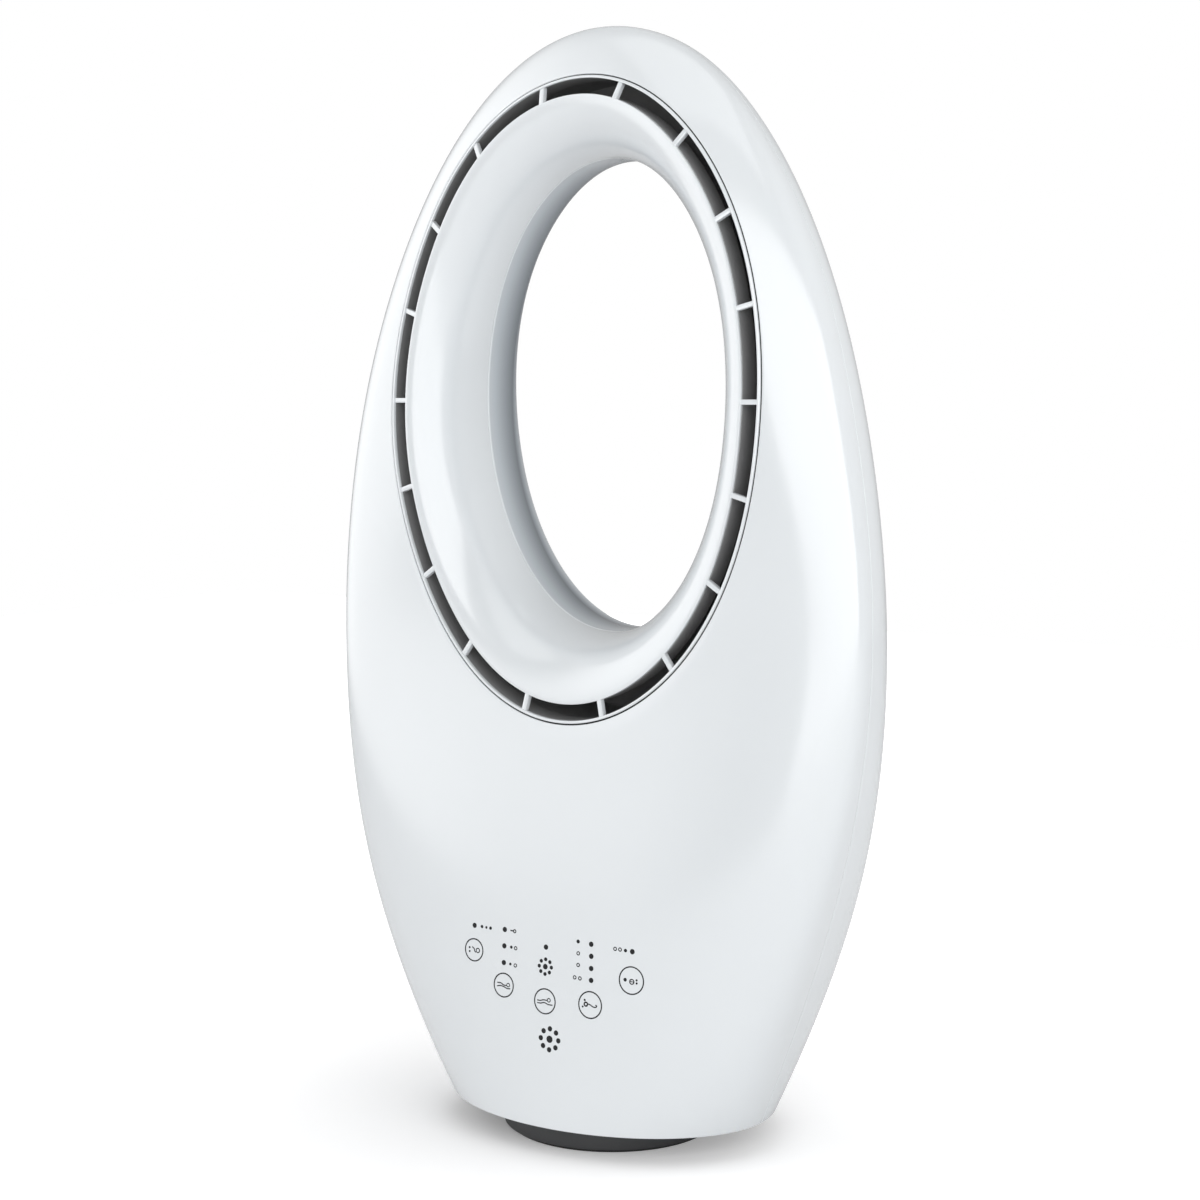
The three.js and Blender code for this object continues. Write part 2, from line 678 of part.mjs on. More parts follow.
function rearShell() {
  const deep = 2 * REAR_DEPTHS[0];
  const inside = bodySolid(WALL / 2);
  const bosses = screwSpots().map(([x, z]) => {
    return cylinderY(BOSS_RADIUS, partingY(z) + SEAT_GAP / 2, deep, x, z);
  });
  const shell = join(skinLayer(0, WALL).intersect(partingHalf(1)), join(...bosses).intersect(inside));
  const holes = screwSpots().flatMap(([x, z]) => {
    const seat = partingY(z) + SCREW_SEAT_DEPTH;
    return [
      cylinderY(SCREW_RADIUS + SEAT_GAP, partingY(z) - 1, deep, x, z),
      cylinderY(SCREW_HEAD_RADIUS + SEAT_GAP, seat, deep, x, z),
    ];
  });
  const throat = openingPrism(
    THROAT_HALF_WIDTH + linerEdge + RING_REVEAL,
    THROAT_HALF_HEIGHT + linerEdge + RING_REVEAL,
    THROAT_CENTRE_Z,
    THROAT_SEAM_Y,
    deep,
  );
  const grille = prismY(grilleShape(SEAT_GAP), 0, deep);
  const inlet = cylinderY(INLET_RADIUS + SEAT_GAP, 0, deep, INLET_X, INLET_Z);
  return cut(shell, throat, grille, inlet, ...holes);
}

function shellScrew(x, z) {
  const seat = partingY(z) + SCREW_SEAT_DEPTH + SEAT_GAP;
  const shank = cylinderY(SCREW_RADIUS, partingY(z) - SCREW_REACH, seat + 1, x, z);
  return join(shank, cylinderY(SCREW_HEAD_RADIUS, seat, seat + SCREW_HEAD_HEIGHT, x, z));
}

// ---- Rear intake grille ----

function grilleShape(grow) {
  const halfWidth = GRILLE_HALF_WIDTH + grow;
  const halfHeight = GRILLE_HALF_HEIGHT + grow;
  return ovalShape(halfWidth, halfHeight, 0, GRILLE_CENTRE_Z, BASE_SIDES, GRILLE_SQUARENESS);
}

function grilleSlots() {
  const halfWidth = GRILLE_HALF_WIDTH - GRILLE_RIM;
  const halfHeight = GRILLE_HALF_HEIGHT - GRILLE_RIM;
  const columns = Math.floor((2 * halfWidth) / SLAT_PITCH);
  const slots = [];
  for (let column = 0; column < columns; column++) {
    const x = (column - (columns - 1) / 2) * SLAT_PITCH;
    const edge = (Math.abs(x) + SLAT_OPENING / 2) / halfWidth;
    const reach = halfHeight * (1 - edge ** GRILLE_SQUARENESS) ** (1 / GRILLE_SQUARENESS);
    const [left, right] = [x - SLAT_OPENING / 2, x + SLAT_OPENING / 2];
    const shape = boxShape(left, right, GRILLE_CENTRE_Z - reach, GRILLE_CENTRE_Z + reach);
    slots.push(prismY(shape, 0, 2 * REAR_DEPTHS[0]));
  }
  return slots;
}

function intakeGrille() {
  const deep = 2 * REAR_DEPTHS[0];
  const flangeInset = WALL + SEAT_GAP;
  const inner = flangeInset + GRILLE_FLANGE_THICKNESS;
  const panel = skinLayer(0, inner).intersect(prismY(grilleShape(0), 0, deep));
  const flange = skinLayer(flangeInset, inner).intersect(prismY(grilleShape(GRILLE_RIM), 0, deep));
  return cut(join(panel, flange), ...grilleSlots());
}

// ---- Base ----

const floorLowZ = BASE_TOP_Z + GLIDE_THICKNESS + 2 * SEAT_GAP;
const floorTopZ = floorLowZ + FLOOR_THICKNESS;
const gearLowZ = floorTopZ + GEAR_LIFT;
const gearTopZ = gearLowZ + GEAR_THICKNESS;
const hubTopZ = gearLowZ - SEAT_GAP;
const baseFootZ = PAD_THICKNESS + SEAT_GAP;

function gearScrewSpots() {
  const spots = [];
  for (let i = 0; i < GEAR_SCREW_COUNT; i++) {
    const angle = (i / GEAR_SCREW_COUNT) * TURN;
    spots.push([GEAR_SCREW_CIRCLE * Math.cos(angle), GEAR_SCREW_CIRCLE * Math.sin(angle)]);
  }
  return spots;
}

function baseCover() {
  const underside = BASE_TOP_Z - BASE_WALL;
  const cover = revolve([
    [HUB_BORE, baseFootZ + BASE_WALL],
    [HUB_RADIUS, baseFootZ + BASE_WALL],
    [HUB_RADIUS, underside],
    [BASE_RADIUS - BASE_WALL, underside],
    [BASE_RADIUS - BASE_WALL, baseFootZ],
    [BASE_RADIUS, baseFootZ],
    [BASE_RADIUS, BASE_TOP_Z - BASE_BEVEL],
    [BASE_RADIUS - BASE_BEVEL, BASE_TOP_Z],
    [HUB_RADIUS, BASE_TOP_Z],
    [HUB_RADIUS, hubTopZ],
    [HUB_BORE, hubTopZ],
  ], 0, 0, BASE_SIDES);
  const holes = gearScrewSpots().map(([x, y]) => {
    return cylinderZ(SMALL_SCREW_RADIUS + SEAT_GAP, baseFootZ + 2 * BASE_WALL, hubTopZ + 1, x, y);
  });
  return cut(cover, ...holes);
}

function ballastDisc() {
  const [inner, outer] = [HUB_RADIUS + BASE_WALL, BASE_RADIUS - BASE_WALL - 2 * SEAT_GAP];
  const top = baseFootZ + BALLAST_HEIGHT;
  return revolve([[inner, baseFootZ], [outer, baseFootZ], [outer, top], [inner, top]], 0, 0, BLOWER_SIDES);
}

function glideRing() {
  const [low, high] = [BASE_TOP_Z + SEAT_GAP, BASE_TOP_Z + SEAT_GAP + GLIDE_THICKNESS];
  const outline = [[GLIDE_INNER, low], [GLIDE_OUTER, low], [GLIDE_OUTER, high], [GLIDE_INNER, high]];
  return revolve(outline, 0, 0, BLOWER_SIDES);
}

// ---- Swing drive ----

function pitchRadius(teeth) {
  return (GEAR_MODULE * teeth) / 2;
}

const pinionX = -(pitchRadius(GEAR_TEETH) + pitchRadius(PINION_TEETH));

// Involute gear outline; turn is the angle of the first tooth's middle.
function gearShape(teeth, centreX, turn) {
  const pitch = pitchRadius(teeth);
  const base = pitch * Math.cos(PRESSURE_ANGLE);
  const root = pitch - DEDENDUM * GEAR_MODULE;
  const tip = pitch + ADDENDUM * GEAR_MODULE;
  const involute = (radius) => {
    const lean = Math.acos(Math.min(base / Math.max(radius, base), 1));
    return Math.tan(lean) - lean;
  };
  const halfTooth = Math.PI / (2 * teeth) - BACKLASH / (2 * pitch);
  const flank = [root, tip].map((radius) => {
    return { radius, spread: halfTooth + involute(pitch) - involute(radius) };
  });
  const points = [];
  for (let tooth = 0; tooth < teeth; tooth++) {
    const middle = turn + (tooth / teeth) * TURN;
    const up = flank.map(({ radius, spread }) => [radius, middle - spread]);
    const down = flank.map(({ radius, spread }) => [radius, middle + spread]).reverse();
    for (const [radius, angle] of [...up, ...down]) {
      points.push(new THREE.Vector2(centreX + radius * Math.cos(angle), radius * Math.sin(angle)));
    }
  }
  return new THREE.Shape(points);
}

function swingGear() {
  const holes = gearScrewSpots().map(([x, y]) => {
    return cylinderZ(SMALL_SCREW_RADIUS + SEAT_GAP, gearLowZ - 1, gearTopZ + 1, x, y);
  });
  const bore = cylinderZ(HUB_BORE, gearLowZ - 1, gearTopZ + 1, 0, 0, 24);
  return cut(prismZ(gearShape(GEAR_TEETH, 0, 0), gearLowZ, gearTopZ), bore, ...holes);
}

function swingPinion() {
  const halfPitch = Math.PI / PINION_TEETH;
  const blank = prismZ(gearShape(PINION_TEETH, pinionX, halfPitch), gearLowZ, gearTopZ);
  return cut(blank, cylinderZ(SWING_SHAFT_RADIUS + SEAT_GAP, gearLowZ - 1, gearTopZ + 1, pinionX, 0));
}

function gearScrew([x, y]) {
  const seat = gearTopZ + SEAT_GAP;
  const shank = cylinderZ(SMALL_SCREW_RADIUS, seat - GEAR_SCREW_LENGTH, seat + 1, x, y, 8);
  return join(shank, cylinderZ(SMALL_HEAD_RADIUS, seat, seat + SMALL_HEAD_HEIGHT, x, y));
}

const swingMotorX = pinionX - SWING_MOTOR_OFFSET;
const swingMotorZ = gearTopZ + SWING_MOTOR_LIFT;

function swingEars() {
  return [-SWING_EAR_REACH, SWING_EAR_REACH].map((y) => [swingMotorX, y]);
}

function swingMotor() {
  const can = cylinderZ(
    SWING_MOTOR_RADIUS, swingMotorZ, swingMotorZ + SWING_MOTOR_HEIGHT, swingMotorX, 0, DRUM_SIDES);
  const ears = swingEars().map(([x, y]) => {
    const pad = cylinderZ(SWING_EAR_RADIUS, swingMotorZ, swingMotorZ + SWING_EAR_THICKNESS, x, y);
    const web = barShape(x, 0, x, y, SWING_EAR_RADIUS);
    const bar = prismZ(web, swingMotorZ, swingMotorZ + SWING_EAR_THICKNESS);
    const hole = cylinderZ(SMALL_SCREW_RADIUS + SEAT_GAP, swingMotorZ - 1, swingMotorZ + 2, x, y);
    return cut(join(pad, bar), hole);
  });
  const depth = SWING_MOTOR_HEIGHT / 2;
  const bore = cylinderZ(SWING_SHAFT_RADIUS + SEAT_GAP, swingMotorZ - 1, swingMotorZ + depth, pinionX, 0);
  return cut(join(can, ...ears), bore);
}

function swingShaft() {
  const top = swingMotorZ + SWING_MOTOR_HEIGHT / 2 - SEAT_GAP;
  return cylinderZ(SWING_SHAFT_RADIUS, gearLowZ, top, pinionX, 0);
}

function swingScrew([x, y]) {
  const seat = swingMotorZ + SWING_EAR_THICKNESS + SEAT_GAP;
  const shank = cylinderZ(SMALL_SCREW_RADIUS, floorTopZ + 1, seat + 1, x, y, 8);
  return join(shank, cylinderZ(SMALL_HEAD_RADIUS, seat, seat + SMALL_HEAD_HEIGHT, x, y));
}

// ---- Body floor ----

function lugSpots() {
  return LUG_ANGLES.map((degrees) => {
    const angle = THREE.MathUtils.degToRad(degrees);
    return [LUG_CIRCLE * Math.cos(angle), BLOWER_Y + LUG_CIRCLE * Math.sin(angle)];
  });
}

function boardPostSpots() {
  const { left, right, front, rear } = CONTROL_BOARD;
  const inset = BOARD_POST_INSET;
  return [left + inset, right - inset].flatMap((x) => [[x, front + inset], [x, rear - inset]]);
}

const lugLowZ = HOUSING_FOOT_Z + BELL_FLARE;
const damperLowZ = lugLowZ - SEAT_GAP - DAMPER_HEIGHT;

function bodyFloor() {
  const reach = HALF_WIDTHS[1];
  const slab = prismZ(boxShape(-reach, reach, -reach, reach), floorLowZ, floorTopZ);
  const plate = slab.intersect(bodySolid(WALL + SEAT_GAP));
  const bore = cylinderZ(HUB_RADIUS + SEAT_GAP, floorLowZ - 1, floorTopZ + 1, 0, 0, BASE_SIDES);
  const low = floorTopZ - 1;
  const posts = [];
  const holes = [];
  for (const [x, y] of lugSpots()) {
    const top = damperLowZ - SEAT_GAP;
    posts.push(cylinderZ(POST_RADIUS, low, top, x, y));
    holes.push(cylinderZ(SMALL_SCREW_RADIUS + SEAT_GAP, top - POST_HOLE_DEPTH, top + 1, x, y));
  }
  for (const [x, y] of swingEars()) {
    const top = swingMotorZ - SEAT_GAP;
    posts.push(cylinderZ(SWING_EAR_RADIUS, low, top, x, y));
    holes.push(cylinderZ(SMALL_SCREW_RADIUS + SEAT_GAP, floorTopZ, top + 1, x, y));
  }
  for (const [x, y] of boardPostSpots()) {
    posts.push(cylinderZ(BOARD_POST_RADIUS, low, CONTROL_BOARD.z - SEAT_GAP, x, y));
  }
  return cut(join(cut(plate, bore), ...posts), ...holes);
}

// ---- Blower ----

function blowerHousing() {
  const inner = HOUSING_INNER;
  const outer = HOUSING_INNER + HOUSING_WALL;
  const foot = HOUSING_FOOT_Z;
  const bell = [];
  for (let i = 0; i <= 2; i++) {
    const turn = (i / 2) * QUARTER;
    bell.push([inner + BELL_FLARE * (1 - Math.sin(turn)), foot + BELL_HEIGHT * (1 - Math.cos(turn))]);
  }
  const tube = revolve([
    ...bell,
    [inner, HOUSING_TOP_Z],
    [outer, HOUSING_TOP_Z],
    [outer, foot + BELL_HEIGHT],
    [inner + BELL_FLARE, foot + HOUSING_WALL],
  ], 0, BLOWER_Y, BLOWER_SIDES);
  const top = lugLowZ + LUG_THICKNESS;
  const lugs = lugSpots().map(([x, y]) => {
    const root = new THREE.Vector2(x, y - BLOWER_Y).setLength(inner + HOUSING_WALL / 4);
    const web = prismZ(barShape(root.x, root.y + BLOWER_Y, x, y, LUG_RADIUS), lugLowZ, top);
    const pad = join(web, cylinderZ(LUG_RADIUS, lugLowZ, top, x, y));
    return cut(pad, cylinderZ(SMALL_SCREW_RADIUS + SEAT_GAP, lugLowZ - 1, top + 1, x, y));
  });
  return join(tube, ...lugs);
}

function damper([x, y]) {
  const high = lugLowZ - SEAT_GAP;
  const hole = SMALL_SCREW_RADIUS + SEAT_GAP;
  const waist = DAMPER_RADIUS - 1;
  const middle = (damperLowZ + high) / 2;
  return revolve([
    [hole, damperLowZ], [DAMPER_RADIUS, damperLowZ], [waist, middle], [DAMPER_RADIUS, high], [hole, high],
  ], x, y, ROUND_SIDES);
}

function blowerScrew([x, y]) {
  const seat = lugLowZ + LUG_THICKNESS + SEAT_GAP;
  const shank = cylinderZ(SMALL_SCREW_RADIUS, seat - BLOWER_SCREW_LENGTH, seat + 1, x, y, 8);
  return join(shank, cylinderZ(SMALL_HEAD_RADIUS, seat, seat + SMALL_HEAD_HEIGHT, x, y));
}

// One curved blade from the hub to the tip; every ring is a thin closed outline at one radius.
function bladeSolid(blade) {
  const stations = blade.stations;
  const rings = [0, 1].map((span) => {
    const sides = [-1, 1].map((side) => {
      const edge = [];
      for (let i = 0; i <= stations; i++) {
        const rise = i / stations;
        const radius = THREE.MathUtils.lerp(blade.rootRadius(rise), blade.tipRadius, span);
        const swell = (blade.thickness / 2) * (0.35 + 0.65 * Math.sin(rise * Math.PI) ** 0.5);
        const angle = blade.angle + blade.turn(rise) + (side * swell) / radius;
        const z = THREE.MathUtils.lerp(blade.footZ, blade.topZ, rise);
        edge.push(new THREE.Vector3(radius * Math.cos(angle), BLOWER_Y + radius * Math.sin(angle), z));
      }
      return edge;
    });
    return [...sides[0], ...sides[1].reverse()];
  });
  return loft(rings);
}

const impellerTip = HOUSING_INNER - IMPELLER_TIP_GAP;
const impellerTopZ = IMPELLER_FOOT_Z + IMPELLER_HEIGHT;

function impellerHubRadius(rise) {
  return THREE.MathUtils.lerp(IMPELLER_HUB_FOOT, IMPELLER_HUB_TOP, rise ** 1.4);
}

function impeller() {
  const outline = [[0, IMPELLER_FOOT_Z - IMPELLER_NOSE]];
  for (const sweep of [QUARTER / 3, (2 * QUARTER) / 3]) {
    outline.push([IMPELLER_HUB_FOOT * Math.sin(sweep), IMPELLER_FOOT_Z - IMPELLER_NOSE * Math.cos(sweep)]);
  }
  const stations = 3;
  for (let i = 0; i <= stations; i++) {
    outline.push([impellerHubRadius(i / stations), IMPELLER_FOOT_Z + (IMPELLER_HEIGHT * i) / stations]);
  }
  outline.push([0, impellerTopZ]);
  const hub = revolve(outline, 0, BLOWER_Y, DRUM_SIDES);
  const blades = [];
  for (let i = 0; i < BLADE_COUNT; i++) {
    blades.push(bladeSolid({
      angle: (i / BLADE_COUNT) * TURN,
      thickness: BLADE_THICKNESS,
      stations: 4,
      footZ: IMPELLER_FOOT_Z + 1,
      topZ: impellerTopZ - 1,
      tipRadius: impellerTip,
      rootRadius: (rise) => impellerHubRadius(rise) - BLADE_ROOT,
      turn: (rise) => -BLADE_SWEEP * rise ** 0.8,
    }));
  }
  const bore = cylinderZ(SHAFT_RADIUS + SEAT_GAP, IMPELLER_FOOT_Z, impellerTopZ + 1, 0, BLOWER_Y);
  return cut(join(hub, ...blades), bore);
}

const motorFootZ = CRADLE_FOOT_Z + SEAT_GAP;
const motorTopZ = motorFootZ + MOTOR_HEIGHT;

function motorShaft() {
  return cylinderZ(SHAFT_RADIUS, IMPELLER_FOOT_Z + SEAT_GAP, motorTopZ + 1, 0, BLOWER_Y);
}

// Cup that holds the motor, with guide vanes out to a ring inside the housing.
function motorCradle() {
  const inner = CUP_RADIUS - CUP_WALL;
  const roof = motorTopZ + 2 * CUP_WALL;
  const cup = revolve([
    [inner, CRADLE_FOOT_Z],
    [CUP_RADIUS, CRADLE_FOOT_Z],
    [CUP_RADIUS, CUP_TOP_Z],
    [CUP_RADIUS * 0.75, CUP_TOP_Z + CUP_NOSE * 0.7],
    [0, CUP_TOP_Z + CUP_NOSE],
    [0, roof],
    [inner, roof],
  ], 0, BLOWER_Y, DRUM_SIDES);
  const ringOuter = HOUSING_INNER - SEAT_GAP;
  const ringTop = CRADLE_FOOT_Z + CRADLE_RING_HEIGHT;
  const ring = revolve([
    [ringOuter - CUP_WALL, CRADLE_FOOT_Z],
    [ringOuter, CRADLE_FOOT_Z],
    [ringOuter, ringTop],
    [ringOuter - CUP_WALL, ringTop],
  ], 0, BLOWER_Y, BLOWER_SIDES);
  const vanes = [];
  for (let i = 0; i < VANE_COUNT; i++) {
    vanes.push(bladeSolid({
      angle: (i / VANE_COUNT) * TURN,
      thickness: BLADE_THICKNESS,
      stations: 4,
      footZ: CRADLE_FOOT_Z + 1,
      topZ: ringTop - 1,
      tipRadius: ringOuter - CUP_WALL / 2,
      rootRadius: () => CUP_RADIUS - CUP_WALL / 2,
      turn: (rise) => VANE_TURN * (1 - (1 - rise) ** 2),
    }));
  }
  return join(cup, ring, ...vanes);
}

function motorCan() {
  const bore = SHAFT_RADIUS + SEAT_GAP;
  const seat = BEARING_RADIUS + SEAT_GAP;
  const outer = CUP_RADIUS - CUP_WALL - SEAT_GAP;
  const depth = BEARING_WIDTH + SEAT_GAP;
  return revolve([
    [bore, motorFootZ + depth],
    [seat, motorFootZ + depth],
    [seat, motorFootZ],
    [outer, motorFootZ],
    [outer, motorTopZ],
    [seat, motorTopZ],
    [seat, motorTopZ - depth],
    [bore, motorTopZ - depth],
  ], 0, BLOWER_Y, DRUM_SIDES);
}

function bearing(low) {
  const bore = SHAFT_RADIUS + SEAT_GAP;
  const high = low + BEARING_WIDTH;
  const outline = [[bore, low], [BEARING_RADIUS, low], [BEARING_RADIUS, high], [bore, high]];
  return revolve(outline, 0, BLOWER_Y, 12);
}

// Duct from the round blower to the wide inlet of the air channel.
function diffuserDuct() {
  const footZ = HOUSING_TOP_Z + SEAT_GAP;
  const slotFootZ = SLOT_CENTRE_Z - SLOT_HALF_HEIGHT;
  const straightZ = slotFootZ - DUCT_STRAIGHT_DROP;
  const topZ = slotFootZ + FOOT_OVERRUN;
  const inletMiddle = (CHANNEL_INLET_FRONT_Y + CHANNEL_INLET_REAR_Y) / 2;
  const inletHalfDepth = (CHANNEL_INLET_REAR_Y - CHANNEL_INLET_FRONT_Y) / 2 - DUCT_WALL - SEAT_GAP;
  const inletHalfWidth = CHANNEL_INLET_HALF_WIDTH - DUCT_WALL - SEAT_GAP;
  const body = (inset, low, high) => {
    const steps = [1 / 3, 2 / 3, 1].map((t) => THREE.MathUtils.lerp(footZ, straightZ, t));
    const levels = [low, ...steps, high];
    return loft(levels.map((z) => {
      const rise = THREE.MathUtils.clamp((z - footZ) / (straightZ - footZ), 0, 1);
      const blend = rise * rise * (3 - 2 * rise);
      const halfWidth = THREE.MathUtils.lerp(HOUSING_INNER, inletHalfWidth, blend) - inset;
      const halfDepth = THREE.MathUtils.lerp(HOUSING_INNER, inletHalfDepth, blend) - inset;
      const middle = THREE.MathUtils.lerp(BLOWER_Y, inletMiddle, blend);
      const square = THREE.MathUtils.lerp(2, DUCT_SQUARENESS, blend);
      const ring = [];
      for (let i = 0; i < DUCT_SIDES; i++) {
        const spot = ovalSpot((i / DUCT_SIDES) * TURN, square);
        ring.push(new THREE.Vector3(halfWidth * spot.x, middle + halfDepth * spot.y, z));
      }
      return ring;
    }));
  };
  const channelOffset = slotOuter + CHANNEL_SET_OUT + CHANNEL_WALL + SEAT_GAP;
  const above = openingPrism(
    SLOT_HALF_WIDTH + channelOffset,
    SLOT_HALF_HEIGHT + channelOffset,
    SLOT_CENTRE_Z,
    -FRONT_DEPTHS[0],
    REAR_DEPTHS[0],
  );
  return cut(body(-DUCT_WALL, footZ, topZ), body(0, footZ - 1, topZ + 1), above);
}

// ---- Electronics ----

function controlBoard() {
  const { left, right, front, rear, z } = CONTROL_BOARD;
  const top = z + BOARD_THICKNESS;
  const plate = prismZ(boxShape(left, right, front, rear), z, top);
  const block = (x, y, width, depth, height) => {
    return prismZ(boxShape(x, x + width, y, y + depth), top - BOARD_THICKNESS / 2, top + height);
  };
  const can = CAPACITOR_RADIUS;
  const low = top - BOARD_THICKNESS / 2;
  const capacitors = [2, 4.5].map((row) => {
    return cylinderZ(can, low, top + CAPACITOR_HEIGHT, left + 2 * can, front + row * can, 12);
  });
  const chip = block(right - 2 * CHIP_SIZE, front + CHIP_SIZE, CHIP_SIZE, CHIP_SIZE, BOARD_THICKNESS);
  const plug = block(left + CHIP_SIZE, rear - CHIP_SIZE, 2 * CHIP_SIZE, PLUG_DEPTH, PLUG_DEPTH);
  return join(plate, ...capacitors, chip, plug);
}

function touchBoard() {
  const shape = boxShape(TOUCH_BOARD_LEFT, TOUCH_BOARD_RIGHT, TOUCH_BOARD_FOOT_Z, TOUCH_BOARD_TOP_Z);
  return prismY(shape, TOUCH_BOARD_Y - BOARD_THICKNESS, TOUCH_BOARD_Y);
}

function touchSpring([x, z]) {
  const front = skinY(x, z, -1);
  const rear = TOUCH_BOARD_Y - BOARD_THICKNESS - SEAT_GAP;
  const inner = TOUCH_SPRING_RADIUS - TOUCH_SPRING_WALL;
  const tube = cylinderY(TOUCH_SPRING_RADIUS, front, rear, x, z).intersect(bodySolid(WALL + SEAT_GAP));
  return cut(tube, cylinderY(inner, front - 1, rear + 1, x, z));
}

function powerInlet() {
  const face = skinY(INLET_X + INLET_RADIUS, INLET_Z, 1) + 1;
  const back = wallY(INLET_X, INLET_Z, 1) - INLET_DEPTH;
  const body = cylinderY(INLET_RADIUS, back, face, INLET_X, INLET_Z);
  const flangeFront = wallY(INLET_X, INLET_Z, 1) - INLET_DEPTH / 2;
  const flange = cylinderY(INLET_RADIUS + INLET_FLANGE, flangeFront, face, INLET_X, INLET_Z);
  const bore = cylinderY(INLET_BORE, back + 3, face + 1, INLET_X, INLET_Z);
  const pin = cylinderY(INLET_PIN, back + 2, face - 3, INLET_X, INLET_Z, 8);
  return join(cut(join(body, flange.intersect(bodySolid(WALL + SEAT_GAP))), bore), pin);
}

// ---- Assembly ----

function finish(color, roughness, metalness = 0) {
  return new THREE.MeshStandardMaterial({ color, roughness, metalness, flatShading: true });
}

const glossWhite = () => finish(0xe9edf0, 0.2);
const charcoal = () => finish(0x3b3c3d, 0.5);
const blackPlastic = () => finish(0x1f2022, 0.55);
const greyPlastic = () => finish(0x9aa0a4, 0.5);
const steel = () => finish(0xb9bcc0, 0.35, 0.9);
const rubber = () => finish(0x222222, 0.9);
const circuit = () => finish(0x1f5a36, 0.5);
const copper = () => finish(0xb87333, 0.35, 0.9);

const fan = new THREE.Group();

function place(name, solid, material) {
  const mesh = new THREE.Mesh(toGeometry(solid), material);
  mesh.name = name;
  fan.add(mesh);
}

place('base_cover', baseCover(), charcoal());
place('ballast_disc', ballastDisc(), steel());
place('foot_pad', cylinderZ(BASE_RADIUS - PAD_INSET, 0, PAD_THICKNESS, 0, 0, BASE_SIDES), rubber());
place('swing_gear', swingGear(), greyPlastic());
gearScrewSpots().forEach((spot, i) => place(`gear_screw_${i + 1}`, gearScrew(spot), steel()));
place('glide_ring', glideRing(), greyPlastic());
place('body_floor', bodyFloor(), blackPlastic());
place('front_shell', frontShell(), glossWhite());
place('rear_shell', rearShell(), glossWhite());
place('outlet_ring', outletRing(), glossWhite());
place('throat_liner', throatLiner(), glossWhite());
place('air_channel', airChannel(), charcoal());
place('intake_grille', intakeGrille(), glossWhite());
screwSpots().forEach(([x, z], i) => place(`shell_screw_${i + 1}`, shellScrew(x, z), steel()));
place('blower_housing', blowerHousing(), blackPlastic());
place('motor_cradle', motorCradle(), greyPlastic());
place('motor_can', motorCan(), steel());
place('lower_bearing', bearing(motorFootZ), steel());
place('upper_bearing', bearing(motorTopZ - BEARING_WIDTH), steel());
lugSpots().forEach((spot, i) => place(`damper_${i + 1}`, damper(spot), rubber()));
lugSpots().forEach((spot, i) => place(`blower_screw_${i + 1}`, blowerScrew(spot), steel()));
place('diffuser_duct', diffuserDuct(), blackPlastic());
place('impeller', impeller(), greyPlastic());
place('motor_shaft', motorShaft(), steel());
place('swing_motor', swingMotor(), steel());
swingEars().forEach((spot, i) => place(`swing_screw_${i + 1}`, swingScrew(spot), steel()));
place('swing_pinion', swingPinion(), greyPlastic());
place('swing_shaft', swingShaft(), steel());
place('control_board', controlBoard(), circuit());
place('touch_board', touchBoard(), circuit());
TOUCH_KEYS.forEach((key, i) => place(`touch_spring_${i + 1}`, touchSpring(key), copper()));
place('power_inlet', powerInlet(), blackPlastic());

export default fan;
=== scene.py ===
"""Looks of the egg-shaped bladeless fan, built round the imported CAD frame. Metres; front towards -Y."""

import json
import math

import bmesh
import bpy
from mathutils import Matrix, Vector


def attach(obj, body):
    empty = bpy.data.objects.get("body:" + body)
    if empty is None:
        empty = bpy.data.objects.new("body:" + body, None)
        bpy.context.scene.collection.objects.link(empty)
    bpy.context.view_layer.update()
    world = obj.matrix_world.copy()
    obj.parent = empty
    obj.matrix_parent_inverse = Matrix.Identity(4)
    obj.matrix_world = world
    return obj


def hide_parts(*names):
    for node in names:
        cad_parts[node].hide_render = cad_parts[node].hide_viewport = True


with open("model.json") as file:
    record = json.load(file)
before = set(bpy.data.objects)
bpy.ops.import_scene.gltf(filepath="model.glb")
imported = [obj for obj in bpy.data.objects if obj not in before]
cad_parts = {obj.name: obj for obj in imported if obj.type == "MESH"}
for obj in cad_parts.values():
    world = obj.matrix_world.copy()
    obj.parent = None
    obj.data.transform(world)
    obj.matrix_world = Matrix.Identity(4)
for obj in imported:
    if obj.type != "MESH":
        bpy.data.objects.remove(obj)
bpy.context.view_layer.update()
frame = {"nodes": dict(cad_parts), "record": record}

MM = 0.001
TURN = math.tau

# ---- The body's shape, in millimetres, as in the CAD source ----

FOOT_Z, HEIGHT, WALL, GAP = 15.0, 600.0, 2.5, 0.3
# The next five hold values at equal steps of the level, from the foot to the crown
HALF_WIDTHS = (96, 146, 166, 156, 131, 94.5, 51.5, 0)
FRONT_DEPTHS = (70.5, 48, 32, 37.5, 38.5, 34.5, 17.5, 0)
REAR_DEPTHS = (80, 66.5, 55.5, 53, 46.5, 36.5, 16.5, 0)
PARTING_SETBACKS = (1, 12.5, 16, 14, 10, 6, 4.5, 6.5)
SQUARENESS = (2, 3.6, 3.3, 3, 2.7, 2.5, 2.35, 2.4)
SLOT = (110.3, 165.2, 401.0)  # half width, half height and centre height of the slot's middle line
THROAT = (83.0, 128.2, 403.0)
SLOT_HALF = 4.25  # half of the slot's width
LIP = 1.6  # width of the raised rim outside the slot
LIP_RISE = 0.45
REVEAL = 0.8  # gap between the rim and the front shell
PARTING = 0.06  # least distance of a shell's edge from the parting line
SEAM_Y = 0.0  # depth of the seam in the throat
REAR_EDGE = 9.0  # radius of the throat's rounded rear edge
LINER_EDGE = REAR_EDGE + 1.5  # how far the throat's rear wall reaches out on the rear skin
RIBS = 18
